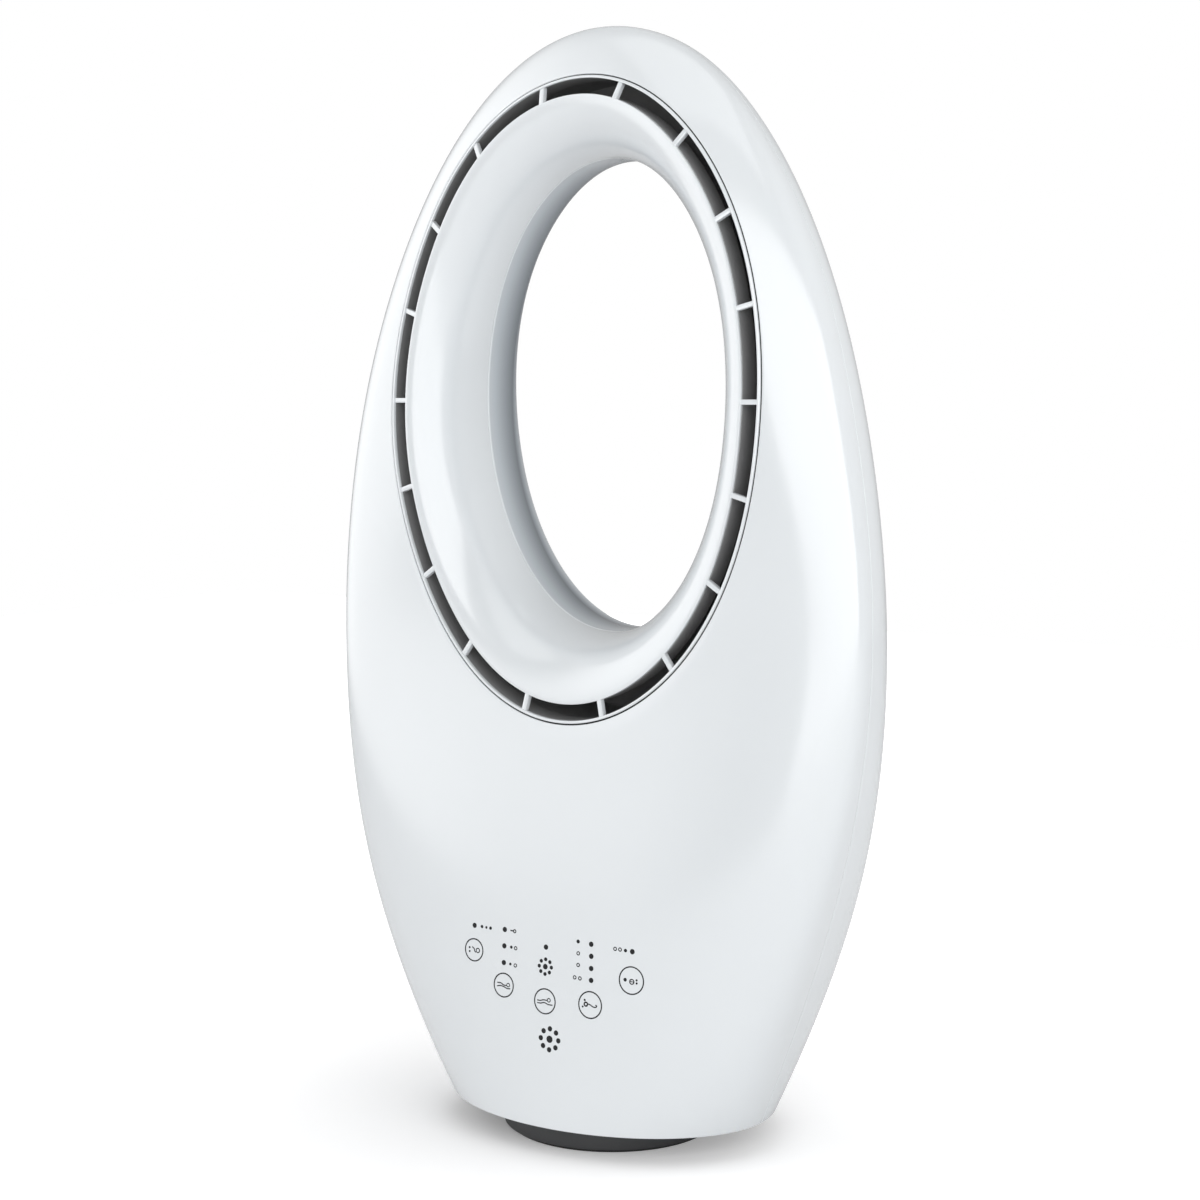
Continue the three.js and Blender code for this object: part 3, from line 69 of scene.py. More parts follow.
GRILLE = (78.0, 50.0, 114.0, 2.6)  # half width, half height, centre height and squareness
SCREWS = [(112, 110), (126, 452), (-112, 110), (-126, 452)]
INLET_X, INLET_Z, INLET_RADIUS = 52, 44, 6


def smooth_law(values):
    """Natural cubic spline through values at equal steps of 0 to 1."""
    last = len(values) - 1
    bend = [0.0] * (last + 1)
    share = [0.0] * (last + 1)
    for i in range(1, last):
        share[i] = 1 / (4 - share[i - 1])
        bend[i] = (6 * (values[i + 1] - 2 * values[i] + values[i - 1]) - bend[i - 1]) * share[i]
    for i in range(last - 1, 0, -1):
        bend[i] -= share[i] * bend[i + 1]

    def law(level):
        i = min(int(level * last), last - 1)
        after = level * last - i
        before = 1 - after
        line = values[i] * before + values[i + 1] * after
        return line + ((after**3 - after) * bend[i + 1] + (before**3 - before) * bend[i]) / 6

    return law


half_width = smooth_law(HALF_WIDTHS)
front_depth = smooth_law(FRONT_DEPTHS)
rear_depth = smooth_law(REAR_DEPTHS)
setback = smooth_law(PARTING_SETBACKS)
squareness = smooth_law(SQUARENESS)


def level_of(z):
    """0 at the foot, 1 at the crown."""
    return math.asin(max(0.0, min(1.0, (z - FOOT_Z) / (HEIGHT - FOOT_Z)))) / (math.pi / 2)


def height_of(level):
    return FOOT_Z + (HEIGHT - FOOT_Z) * math.sin(level * math.pi / 2)


def skin_y(x, z, side, least=0.0):
    """Depth of the skin at (x, z); least keeps it that far from the parting line."""
    level = level_of(z)
    n = squareness(level)
    depth = front_depth(level) if side < 0 else rear_depth(level)
    width = half_width(level)
    across = min(abs(x) / width, 1.0) if width > 1e-6 else 0.0
    return -setback(level) + side * max(least, depth * (1 - across**n) ** (1 / n))


def section_share(x, y, z, side):
    """1 on the skin, less inside it."""
    level = level_of(z)
    n = squareness(level)
    depth = front_depth(level) if side < 0 else rear_depth(level)
    return (abs(x / half_width(level)) ** n + abs((y + setback(level)) / depth) ** n) ** (1 / n)


CAP_Z = HEIGHT - 1.0  # above it the normal turns evenly up to the crown's
FOOT_MARGIN = 0.3  # the normal at the foot is taken this far above it


def body_normal(point, side):
    """Outward unit normal of the whole body, also on its parting line and its crown."""
    x, y, z = point
    cap = max(0.0, z - CAP_Z)
    if cap:
        level, under = level_of(min(z, HEIGHT - 1e-4)), level_of(CAP_Z)
        middle = -setback(level)
        x *= half_width(under) / half_width(level)
        depth = front_depth if side < 0 else rear_depth
        y = -setback(under) + (y - middle) * depth(under) / depth(level)
        z = CAP_Z
    z = max(z, FOOT_Z + FOOT_MARGIN)
    step = 0.05
    slopes = []
    for dx, dy, dz in ((step, 0, 0), (0, step, 0), (0, 0, step)):
        ahead = section_share(x + dx, y + dy, z + dz, side)
        slopes.append(ahead - section_share(x - dx, y - dy, z - dz, side))
    flat = math.sqrt(max(0.0, 1 - cap / (HEIGHT - CAP_Z)))
    return Vector((slopes[0] * flat, slopes[1] * flat, slopes[2])).normalized()


def skin_normal(x, z, side):
    """Outward unit normal of the skin away from the parting line."""
    step = 0.2
    sx = (skin_y(x + step, z, side) - skin_y(x - step, z, side)) / (2 * step)
    sz = (skin_y(x, z + step, side) - skin_y(x, z - step, side)) / (2 * step)
    return Vector((-sx, 1, -sz)).normalized() * side


def on_skin(x, z, side, lift=0.0):
    return Vector((x, skin_y(x, z, side), z)) + skin_normal(x, z, side) * lift


# ---- Mesh helpers ----

SHARP_ANGLE, CUT_SHARP_ANGLE = 38, 30  # degrees; edges above them stay sharp
CORNER_REACH = 0.45  # share of a side that a rounded corner may take
BAR_CORNER = 0.3  # share of a bar's edge radius at the middle of the rounded edge


def make_object(name, verts, faces, material, smooth=True):
    mesh = bpy.data.meshes.new(name)
    mesh.from_pydata([Vector(v) * MM for v in verts], [], faces)
    bm = bmesh.new()
    bm.from_mesh(mesh)
    bmesh.ops.remove_doubles(bm, verts=bm.verts, dist=1e-7)
    bmesh.ops.dissolve_degenerate(bm, edges=bm.edges, dist=1e-8)
    bmesh.ops.recalc_face_normals(bm, faces=bm.faces)
    bm.to_mesh(mesh)
    bm.free()
    if smooth:
        mesh.shade_smooth()
        mesh.set_sharp_from_angle(angle=math.radians(SHARP_ANGLE))
    obj = bpy.data.objects.new(name, mesh)
    bpy.context.scene.collection.objects.link(obj)
    mesh.materials.append(material)
    return obj


def skin_loops(loops, closed_across=True):
    """Faces between closed loops of equal length; closed_across joins the last loop to the first."""
    count = len(loops[0])
    verts = [p for loop in loops for p in loop]
    faces = []
    rows = len(loops) if closed_across else len(loops) - 1
    for r in range(rows):
        a, b = r * count, ((r + 1) % len(loops)) * count
        for i in range(count):
            j = (i + 1) % count
            faces.append((a + i, a + j, b + j, b + i))
    return verts, faces


def closed_bar(loops):
    """Faces between the loops, with a face over each end."""
    verts, faces = skin_loops(loops, closed_across=False)
    count = len(loops[0])
    faces += [tuple(range(count)), tuple(range(len(verts) - count, len(verts)))]
    return verts, faces


def bar_section(low, high, depth, soft):
    """(across, depth) points of a bar from low to high, with its two front edges rounded."""
    near = soft * BAR_CORNER
    return [
        (low, depth), (low, soft), (low + near, near), (low + soft, 0),
        (high - soft, 0), (high - near, near), (high, soft), (high, depth),
    ]


def joined(parts):
    """One list of vertices and faces out of several."""
    verts, faces = [], []
    for part_verts, part_faces in parts:
        offset = len(verts)
        verts += part_verts
        faces += [tuple(offset + i for i in face) for face in part_faces]
    return verts, faces


def lathe(profile, sides):
    """Closed profile of (radius, height) points turned about a vertical axis."""
    loops = []
    for radius, z in profile:
        loop = []
        for i in range(sides):
            a = TURN * i / sides
            loop.append(Vector((radius * math.cos(a), radius * math.sin(a), z)))
        loops.append(loop)
    return skin_loops(loops)


def rounded(profile, radius, steps=3):
    """The closed profile with each corner rounded off."""
    result = []
    count = len(profile)
    for i, corner in enumerate(profile):
        here = Vector(corner)
        before, after = Vector(profile[i - 1]) - here, Vector(profile[(i + 1) % count]) - here
        reach = min(radius, before.length * CORNER_REACH, after.length * CORNER_REACH)
        a, b = here + before.normalized() * reach, here + after.normalized() * reach
        for k in range(steps + 1):
            t = k / steps
            result.append(tuple(a * (1 - t) ** 2 + here * 2 * t * (1 - t) + b * t**2))
    return result


def piece(name, mesh_data, material, body="head", stands_for=()):
    """Adds a named piece that rides on a body; mesh_data holds its vertices and faces."""
    obj = make_object(name, *mesh_data, material)
    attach(obj, body)
    if stands_for:
        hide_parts(*stands_for)
    return obj


# ---- Materials ----

COAT_ROUGHNESS = 0.14
RAMP_FROM, RAMP_TO = 0.3, 0.7  # part of the noise over which the colour varies
CLOUD_SCALE, PATCH_SCALE, BRUSH_SCALE = 9, 26, 60  # of the noise in colour, roughness and metal
# Depth over which the painted shade of the throat's rear wall runs
DARKENING_DEPTH = 40  # millimetres


def new_material(name, color, roughness, metallic=0.0, coat=0.0, specular=0.5):
    material = bpy.data.materials.new(name)
    material.use_nodes = True
    shader = material.node_tree.nodes["Principled BSDF"]
    shader.inputs["Base Color"].default_value = (*color, 1)
    shader.inputs["Roughness"].default_value = roughness
    shader.inputs["Metallic"].default_value = metallic
    shader.inputs["Coat Weight"].default_value = coat
    shader.inputs["Coat Roughness"].default_value = COAT_ROUGHNESS
    shader.inputs["Specular IOR Level"].default_value = specular
    return material, material.node_tree, shader


def add_noise(tree, scale, detail, stretch=None):
    coordinates = tree.nodes.new("ShaderNodeTexCoord")
    noise = tree.nodes.new("ShaderNodeTexNoise")
    noise.inputs["Scale"].default_value = scale
    noise.inputs["Detail"].default_value = detail
    source = coordinates.outputs["Object"]
    if stretch:
        mapping = tree.nodes.new("ShaderNodeMapping")
        mapping.inputs["Scale"].default_value = stretch
        tree.links.new(source, mapping.inputs["Vector"])
        source = mapping.outputs["Vector"]
    tree.links.new(source, noise.inputs["Vector"])
    return noise.outputs["Fac"]


def vary_color(tree, shader, noise, low, high):
    ramp = tree.nodes.new("ShaderNodeValToRGB")
    ramp.color_ramp.elements[0].position = RAMP_FROM
    ramp.color_ramp.elements[1].position = RAMP_TO
    ramp.color_ramp.elements[0].color = (*low, 1)
    ramp.color_ramp.elements[1].color = (*high, 1)
    tree.links.new(noise, ramp.inputs["Fac"])
    tree.links.new(ramp.outputs["Color"], shader.inputs["Base Color"])


def vary_roughness(tree, shader, noise, low, high):
    spread = tree.nodes.new("ShaderNodeMapRange")
    spread.inputs["To Min"].default_value = low
    spread.inputs["To Max"].default_value = high
    tree.links.new(noise, spread.inputs["Value"])
    tree.links.new(spread.outputs["Result"], shader.inputs["Roughness"])


def add_bump(tree, shader, noise, strength, distance):
    bump = tree.nodes.new("ShaderNodeBump")
    bump.inputs["Strength"].default_value = strength
    bump.inputs["Distance"].default_value = distance
    tree.links.new(noise, bump.inputs["Height"])
    tree.links.new(bump.outputs["Normal"], shader.inputs["Normal"])


def plastic(name, low, high, roughness, grain, coat=0.0, specular=0.5):
    """Slightly uneven plastic; roughness is (low, high), grain is (scale, strength, depth in metres)."""
    material, tree, shader = new_material(name, high, roughness[0], coat=coat, specular=specular)
    cloudy = add_noise(tree, CLOUD_SCALE, 2)
    vary_color(tree, shader, cloudy, low, high)
    patchy = add_noise(tree, PATCH_SCALE, 4)
    vary_roughness(tree, shader, patchy, *roughness)
    scale, strength, depth = grain
    add_bump(tree, shader, add_noise(tree, scale, 4), strength, depth)
    return material


def metal(name, low, high, roughness):
    """Brushed metal; roughness is (low, high)."""
    material, tree, shader = new_material(name, high, roughness[0], metallic=1.0)
    brushed = add_noise(tree, BRUSH_SCALE, 5, (1, 1, 14))
    vary_color(tree, shader, brushed, low, high)
    vary_roughness(tree, shader, brushed, *roughness)
    add_bump(tree, shader, brushed, 0.12, 0.00005)
    return material


GLOSS, GLOSS_GRAIN = (0.17, 0.2), (260, 0.05, 0.00002)
white = plastic(
    "white_gloss", (0.71, 0.74, 0.76), (0.725, 0.755, 0.775), GLOSS, GLOSS_GRAIN, coat=0.65, specular=0.95
)
# White for the throat's rear wall, with painted shade that darkens it towards the back (below)
shade = plastic(
    "white_painted_shade", (0.73, 0.76, 0.78), (0.745, 0.775, 0.795), GLOSS, GLOSS_GRAIN, coat=0.3, specular=0.7
)
charcoal = plastic(
    "charcoal_satin", (0.036, 0.037, 0.039), (0.044, 0.045, 0.047), (0.42, 0.52), (900, 0.25, 0.00004)
)
trough = plastic(
    "trough_satin", (0.24, 0.241, 0.244), (0.28, 0.281, 0.284), (0.5, 0.62), (700, 0.25, 0.00004)
)
black = plastic(
    "black_matte", (0.012, 0.012, 0.013), (0.018, 0.018, 0.019), (0.5, 0.6), (900, 0.3, 0.00004)
)
grey = plastic("grey_plastic", (0.3, 0.32, 0.33), (0.34, 0.36, 0.37), (0.42, 0.5), (700, 0.2, 0.00004))
rubber = plastic(
    "black_rubber", (0.016, 0.016, 0.016), (0.024, 0.024, 0.024), (0.78, 0.88), (1200, 0.5, 0.00008)
)
ink = plastic(
    "dark_ink", (0.009, 0.0095, 0.011), (0.014, 0.015, 0.017), (0.35, 0.42), (900, 0.05, 0.00001),
    specular=0.3,
)
board = plastic("board_green", (0.012, 0.07, 0.03), (0.018, 0.1, 0.045), (0.4, 0.5), (300, 0.2, 0.00003))
steel = metal("plain_steel", (0.42, 0.43, 0.45), (0.56, 0.57, 0.58), (0.26, 0.4))
iron = metal("cast_weight", (0.12, 0.12, 0.125), (0.17, 0.17, 0.175), (0.5, 0.65))
contact = metal("contact_metal", (0.5, 0.36, 0.14), (0.62, 0.46, 0.2), (0.28, 0.38))


def paint_shade_rearwards(material, stops):
    """Painted shade: multiplies the colour by one that changes with the depth y; stops are (y in mm,
    colour).
    """
    tree = material.node_tree
    shader = tree.nodes["Principled BSDF"]
    source = shader.inputs["Base Color"].links[0].from_socket
    coordinates = tree.nodes.new("ShaderNodeTexCoord")
    split = tree.nodes.new("ShaderNodeSeparateXYZ")
    tree.links.new(coordinates.outputs["Object"], split.inputs["Vector"])
    depth = tree.nodes.new("ShaderNodeMapRange")
    depth.inputs["From Min"].default_value = 0.0
    depth.inputs["From Max"].default_value = DARKENING_DEPTH * MM
    tree.links.new(split.outputs["Y"], depth.inputs["Value"])
    ramp = tree.nodes.new("ShaderNodeValToRGB")
    elements = ramp.color_ramp.elements
    while len(elements) < len(stops):
        elements.new(0.5)
    for element, (y, color) in zip(elements, stops):
        element.position = y / DARKENING_DEPTH
        element.color = (*color, 1)
    tree.links.new(depth.outputs["Result"], ramp.inputs["Fac"])
    mix = tree.nodes.new("ShaderNodeMix")
    mix.data_type = "RGBA"
    mix.blend_type = "MULTIPLY"
    mix.inputs["Factor"].default_value = 1.0
    tree.links.new(source, mix.inputs["A"])
    tree.links.new(ramp.outputs["Color"], mix.inputs["B"])
    tree.links.new(mix.outputs["Result"], shader.inputs["Base Color"])


# Painted shade: the throat's rear wall gets darker towards the back, where the throat lies in shade; the
# first 1.2 mm at the seam stay light as a painted highlight line, and the rounded rear edge turns back to
# near white
paint_shade_rearwards(shade, [
    (0.0, (1, 1, 1)),
    (1.2, (0.98, 0.99, 1)),
    (1.6, (0.74, 0.76, 0.78)),
    (7, (0.64, 0.67, 0.7)),
    (24, (0.2, 0.22, 0.24)),
    (34, (0.95, 0.97, 1)),
])

SLOT_MATERIALS = {
    "gloss_white": white,
    "charcoal_plastic": charcoal,
    "black_plastic": black,
    "grey_plastic": grey,
    "ballast_iron": iron,
    "rubber": rubber,
    "circuit_board": board,
    "contact_metal": contact,
    "steel": steel,
}

for entry in frame["record"]["subparts"]:
    node = frame["nodes"][entry["node"]]
    node.data.materials.clear()
    node.data.materials.append(SLOT_MATERIALS[entry["material_slot"]])


# ---- Shells ----

OUTLINE_POINTS = 360
FLANK_STEPS, FOOT_STEPS = 600, 300  # of the fine outline that the points are spaced on
SHELL_ROWS = 72
ROW_CROWDING = 2.7  # rows crowd towards the free edge, where the skin bends most
INNER_ROW_EVERY = 4
LINER_CLEARANCE = 0.6
CUT_REACH = (20, 120)  # from y to y
SCREW_CUT_REACH = (-2, 120)
SCREW_HOLE = 3.9
# (away from the edge, below the skin) shares of the radius, round a free edge
EDGE_ROUNDING = [(1.0, 0.0), (0.62, 0.08), (0.29, 0.29), (0.08, 0.62), (0.0, 1.0)]


def outline_spots(side):
    """Points (x, z) round the shell's free edge, evenly spaced in space, from the crown clockwise."""
    path = []
    for i in range(FLANK_STEPS + 1):
        level = 1 - i / FLANK_STEPS
        path.append((half_width(level), height_of(level)))
    for i in range(1, FOOT_STEPS):
        angle = math.pi * i / FOOT_STEPS
        path.append((half_width(0) * math.cos(angle), FOOT_Z))
    path += [(-x, z) for x, z in reversed(path[1 : FLANK_STEPS + 1])]
    spots = [Vector((x, skin_y(x, z, side), z)) for x, z in path]
    lengths = [0.0]
    for a, b in zip(spots, spots[1:] + spots[:1]):
        lengths.append(lengths[-1] + (b - a).length)
    corner = lengths[FLANK_STEPS]
    total = lengths[-1]
    flank_count = round(OUTLINE_POINTS * corner / total)
    foot_count = OUTLINE_POINTS - 2 * flank_count
    marks = [corner * i / flank_count for i in range(flank_count)]
    marks += [corner + (total - 2 * corner) * i / foot_count for i in range(foot_count)]
    marks += [total - corner + corner * i / flank_count for i in range(flank_count)]
    result, k = [], 0
    for mark in marks:
        while lengths[k + 1] < mark - 1e-9:
            k += 1
        a, b = path[k], path[(k + 1) % len(path)]
        t = (mark - lengths[k]) / max(lengths[k + 1] - lengths[k], 1e-9)
        x, z = a[0] + (b[0] - a[0]) * t, a[1] + (b[1] - a[1]) * t
        if z > FOOT_Z:
            x = math.copysign(half_width(level_of(z)), x)  # exactly on the parting line
        result.append((x, z))
    return result


def edge_spot(x, z, ellipse):
    """Where the ray from the ellipse's centre towards (x, z) meets the ellipse."""
    dx, dz = x, z - ellipse[2]
    scale = 1 / math.hypot(dx / ellipse[0], dz / ellipse[1])
    return dx * scale, ellipse[2] + dz * scale


def shell_rows(side, ellipse, across):
    """Loops of points from the oval's edge out to the shell's free edge."""
    outline = outline_spots(side)
    rows = []
    for k in range(across + 1):
        reach = 1 - (1 - k / across) ** ROW_CROWDING
        row = []
        for x, z in outline:
            ex, ez = edge_spot(x, z, ellipse)
            px, pz = ex + (x - ex) * reach, ez + (z - ez) * reach
            if k == across:
                px, pz = x, z
            row.append(Vector((px, skin_y(px, pz, side, PARTING), pz)))
        rows.append(row)
    return rows


def thick_shell(rows, side, edge=0.3):
    """Closed wall under the rows, with its two free edges rounded off by the radius edge."""
    normals = [[body_normal(point, side) for point in row] for row in rows]
    count = len(rows[0])

    def edge_loops(k, inward):
        away = [(rows[k + inward][i] - rows[k][i]).normalized() for i in range(count)]
        return [
            [rows[k][i] + away[i] * edge * a - normals[k][i] * edge * d for i in range(count)]
            for a, d in EDGE_ROUNDING
        ]

    first, last = edge_loops(0, 1), edge_loops(len(rows) - 1, -1)
    inner = [
        [rows[k][i] - normals[k][i] * WALL for i in range(count)]
        for k in range(len(rows) - 1, -1, -INNER_ROW_EVERY)
    ]
    if (len(rows) - 1) % INNER_ROW_EVERY:
        inner.append([rows[0][i] - normals[0][i] * WALL for i in range(count)])
    return skin_loops(list(reversed(first)) + rows[1:-1] + last + inner)


def add_shell(name, side, ellipse, stands_for):
    """Front (side -1) or rear (side 1) half of the body, open at the ellipse."""
    rows = shell_rows(side, ellipse, SHELL_ROWS)
    return piece(name, thick_shell(rows, side), white, stands_for=[stands_for])


opening = (SLOT[0] + SLOT_HALF + LIP + REVEAL, SLOT[1] + SLOT_HALF + LIP + REVEAL, SLOT[2])
add_shell("front_shell_skin", -1, opening, "front_shell")
rear_hole = (THROAT[0] + LINER_EDGE + LINER_CLEARANCE, THROAT[1] + LINER_EDGE + LINER_CLEARANCE, THROAT[2])
rear = add_shell("rear_shell_skin", 1, rear_hole, "rear_shell")


def cutter(name, loops):
    """Closed tool between two loops, for a boolean cut."""
    verts, faces = skin_loops(loops, closed_across=False)
    count = len(loops[0])
    faces.append(tuple(range(count)))
    faces.append(tuple(reversed(range(len(verts) - count, len(verts)))))
    return make_object(name, verts, faces, white, smooth=False)


def oval_spot(angle, square):
    """(x, z) on an oval of radius 1, squarer as square grows."""
    c, s = math.cos(angle), math.sin(angle)
    radius = (abs(c) ** square + abs(s) ** square) ** (-1 / square)
    return radius * c, radius * s


def oval_loop(half_x, half_z, centre_x, centre_z, y, square=2.0, sides=96):
    loop = []
    for i in range(sides):
        c, s = oval_spot(TURN * i / sides, square)
        loop.append(Vector((centre_x + half_x * c, y, centre_z + half_z * s)))
    return loop


def cut_away(target, tools):
    """Cuts the tools out of the target and removes them."""
    for tool in tools:
        modifier = target.modifiers.new("cut", "BOOLEAN")
        modifier.operation = "DIFFERENCE"
        modifier.solver = "EXACT"
        modifier.object = tool
    graph = bpy.context.evaluated_depsgraph_get()
    mesh = bpy.data.meshes.new_from_object(target.evaluated_get(graph))
    target.modifiers.clear()
    target.data = mesh
    mesh.set_sharp_from_angle(angle=math.radians(CUT_SHARP_ANGLE))
    for tool in tools:
        bpy.data.objects.remove(tool)


tools = [
    cutter("cut_grille", [
        oval_loop(GRILLE[0] + GAP, GRILLE[1] + GAP, 0, GRILLE[2], y, GRILLE[3]) for y in CUT_REACH
    ]),
    cutter("cut_inlet", [
        oval_loop(INLET_RADIUS + GAP, INLET_RADIUS + GAP, INLET_X, INLET_Z, y, sides=48) for y in CUT_REACH
    ]),
]
for number, (x, z) in enumerate(SCREWS):
    tools.append(cutter(f"cut_screw_{number}", [
        oval_loop(SCREW_HOLE, SCREW_HOLE, x, z, y, sides=40) for y in SCREW_CUT_REACH
    ]))
cut_away(rear, tools)


# ---- Outlet ring ----


def arc_angles(count, offset=0.0):
    """Angles from the top that space points evenly along the slot's middle line."""
    samples = 7200
    lengths = [0.0]
    for i in range(samples):
        a = (i + 0.5) / samples * TURN
        lengths.append(lengths[-1] + math.hypot(SLOT[0] * math.cos(a), SLOT[1] * math.sin(a)))
    angles, i = [], 0
    for k in range(count):
        target = (k + offset) / count * lengths[-1]
        while lengths[i + 1] <= target:
            i += 1
        angles.append((i + (target - lengths[i]) / (lengths[i + 1] - lengths[i])) / samples * TURN)
    return angles


def ring_spot(angle, across, offset):
    """(x, z) on an ellipse round the throat: across 0 is the throat, 1 the slot's middle line."""
    half_x = THROAT[0] + (SLOT[0] - THROAT[0]) * across + offset
    half_z = THROAT[1] + (SLOT[1] - THROAT[1]) * across + offset
    centre = THROAT[2] + (SLOT[2] - THROAT[2]) * across
    return half_x * math.sin(angle), centre + half_z * math.cos(angle)


def front_point(angle, across, offset, behind=0.0):
    x, z = ring_spot(angle, across, offset)
    return Vector((x, skin_y(x, z, -1) + behind, z))


RING_ANGLES = arc_angles(288)
RIB_DEPTH, RIB_SINK, RIB_OVERLAP, RIB_HALF, RIB_SOFT = 3.2, 0.25, 0.9, 1.35, 0.4
SLOT_DEPTH = 1.5  # depth of the slot's white edges
SOFT = 0.5  # radius of the ring's small front edges
SOFT_MIDDLE = 0.29  # share of that radius at the middle of a rounded edge
LIP_WALL, LIP_REAR = 0.9, 4.2
LIP_FLANGE, FLANGE_FRONT, FLANGE_REAR = 4, 4.4, 6.2  # flange that reaches out behind the front shell
RING_WALL = 2.2
INNER_EDGE_WALL = 1.3  # wall of the inner ring where it ends in the slot
ARC_FROM, ARC_SPAN, ARC_STEPS, INNER_ARC_STEPS = 0.012, 0.968, 26, 8  # a quarter turn is 1


def sweep(profile):
    """Closed tube round the throat; profile gives the section's points for one angle."""
    sections = [profile(a) for a in RING_ANGLES]
    return skin_loops([[section[i] for section in sections] for i in range(len(sections[0]))])


def lip_section(angle):
    """Raised rim outside the slot, rounded on its front edges, with its wall down into the slot."""
    inner, outer = SLOT_HALF, SLOT_HALF + LIP
    middle = SOFT * SOFT_MIDDLE
    points = []
    for offset, behind in (
        (inner, SOFT),
        (inner + middle, middle),
        (inner + SOFT, 0),
        (outer - SOFT, 0),
        (outer - middle, middle),
        (outer, SOFT),
        (outer, LIP_REAR),
        (outer + LIP_FLANGE, FLANGE_FRONT),
        (outer + LIP_FLANGE, FLANGE_REAR),
        (inner + LIP_WALL, FLANGE_REAR),
        (inner + LIP_WALL, SLOT_DEPTH + LIP_RISE),
        (inner, SLOT_DEPTH + LIP_RISE),
    ):
        points.append(front_point(angle, 1, offset, behind - LIP_RISE))
    return points


def doughnut_section(angle):
    """Rounded inner ring: a quarter ellipse from the slot to the seam in the throat, with its wall."""
    rear_y = SEAM_Y - GAP / 2
    front_y = front_point(angle, 1, -SLOT_HALF).y

    def arc(turn, depth):
        share = math.sin(turn * math.pi / 2)
        x, z = ring_spot(angle, 1 - share, -SLOT_HALF * (1 - share) + depth * share)
        y = rear_y + (front_y + depth - rear_y) * math.cos(turn * math.pi / 2)
        return Vector((x, y, z))

    points = [front_point(angle, 1, -SLOT_HALF, SLOT_DEPTH), front_point(angle, 1, -SLOT_HALF, SOFT)]
    points += [front_point(angle, 1, -SLOT_HALF - SOFT * BAR_CORNER, SOFT * BAR_CORNER)]
    points += [arc(ARC_FROM + ARC_SPAN * i / ARC_STEPS, 0) for i in range(ARC_STEPS + 1)]
    for depth, ahead in ((0, 0.25), (0.3, 0)):
        x, z = ring_spot(angle, 0, depth)
        points += [Vector((x, rear_y - ahead, z))]
    points += [arc(1 - i / INNER_ARC_STEPS, RING_WALL) for i in range(INNER_ARC_STEPS + 1)]
    points += [front_point(angle, 1, -SLOT_HALF - INNER_EDGE_WALL, SLOT_DEPTH)]
    return points


def rib_mesh(angle):
    """Short bar across the slot, rounded along its front edges."""
    inner = front_point(angle, 1, -SLOT_HALF - RIB_OVERLAP)
    outer = front_point(angle, 1, SLOT_HALF + RIB_OVERLAP)
    along = outer - inner
    side = Vector((-along.z, 0, along.x)).normalized()
    section = bar_section(-RIB_HALF, RIB_HALF, RIB_DEPTH, RIB_SOFT)
    loops = []
    for t in (0, 0.34, 0.67, 1):
        centre = inner + along * t
        loops.append([centre + side * a + Vector((0, RIB_SINK + d, 0)) for a, d in section])
    return closed_bar(loops)


LINER_ARC_STEPS, LINER_WALL_STEPS, LINER_INNER_STEPS = 12, 6, 5
LINER_SEAT, LINER_FLANGE, LINER_FLANGE_WALL = 1.2, 4, 2


def liner_section(angle):
    """Wall of the throat behind the seam, rounded out to the rear skin, with a flange inside the shell."""

    def on_rear(offset, depth):
        x, z = ring_spot(angle, 0, offset)
        return Vector((x, skin_y(x, z, 1) - depth, z))

    def arc(turn, depth):
        x, z = ring_spot(angle, 0, REAR_EDGE - (REAR_EDGE - depth) * math.sin(turn))
        return Vector((x, rear_y - REAR_EDGE + (REAR_EDGE - depth) * math.cos(turn), z))

    soft = 0.3
    rear_y = on_rear(REAR_EDGE, 0).y
    points = [on_rear(LINER_EDGE, soft), on_rear(LINER_EDGE - soft, 0)]
    points += [arc(math.pi / 2 * i / LINER_ARC_STEPS, 0) for i in range(LINER_ARC_STEPS + 1)]
    start = points[-1].y
    inner_x, inner_z = ring_spot(angle, 0, 0)
    for i in range(1, LINER_WALL_STEPS + 1):
        y = start + (SEAM_Y + GAP / 2 + soft - start) * i / LINER_WALL_STEPS
        points += [Vector((inner_x, y, inner_z))]
    for offset in (soft, RING_WALL):
        x, z = ring_spot(angle, 0, offset)
        points += [Vector((x, SEAM_Y + GAP / 2, z))]
    for i in range(LINER_INNER_STEPS + 1):
        points += [arc(math.pi / 2 * (1 - i / LINER_INNER_STEPS), RING_WALL)]
    seat = WALL + GAP + LINER_SEAT
    foot, flange = seat + LINER_FLANGE_WALL, LINER_EDGE + LINER_FLANGE
    points += [on_rear(REAR_EDGE - 1, foot), on_rear(flange, foot)]
    points += [on_rear(flange, seat), on_rear(LINER_EDGE, seat)]
    return points


# Its material carries painted shade, darker towards the back of the throat
piece("throat_liner_skin", sweep(liner_section), shade, stands_for=["throat_liner"])

ring_parts = [sweep(lip_section), sweep(doughnut_section)]
ring_parts += [rib_mesh(a) for a in arc_angles(RIBS, 0.5)]
piece("outlet_ring_skin", joined(ring_parts), white, stands_for=["outlet_ring"])


TROUGH_REACH = 3.8  # of the outer wall beyond the slot
TROUGH_BACK = 20.0
TROUGH_CLEARANCE = 3.5  # to the inside of the rear shell
TROUGH_FRONT = 8.5  # behind the skin
TROUGH_INNER, TROUGH_INNER_FRONT = 4.0, -3.0
COLLAR_FRONT, COLLAR_REAR = SLOT_DEPTH + 0.15, 16
COLLAR_CLEARANCE, COLLAR_WALL = 0.05, 0.8


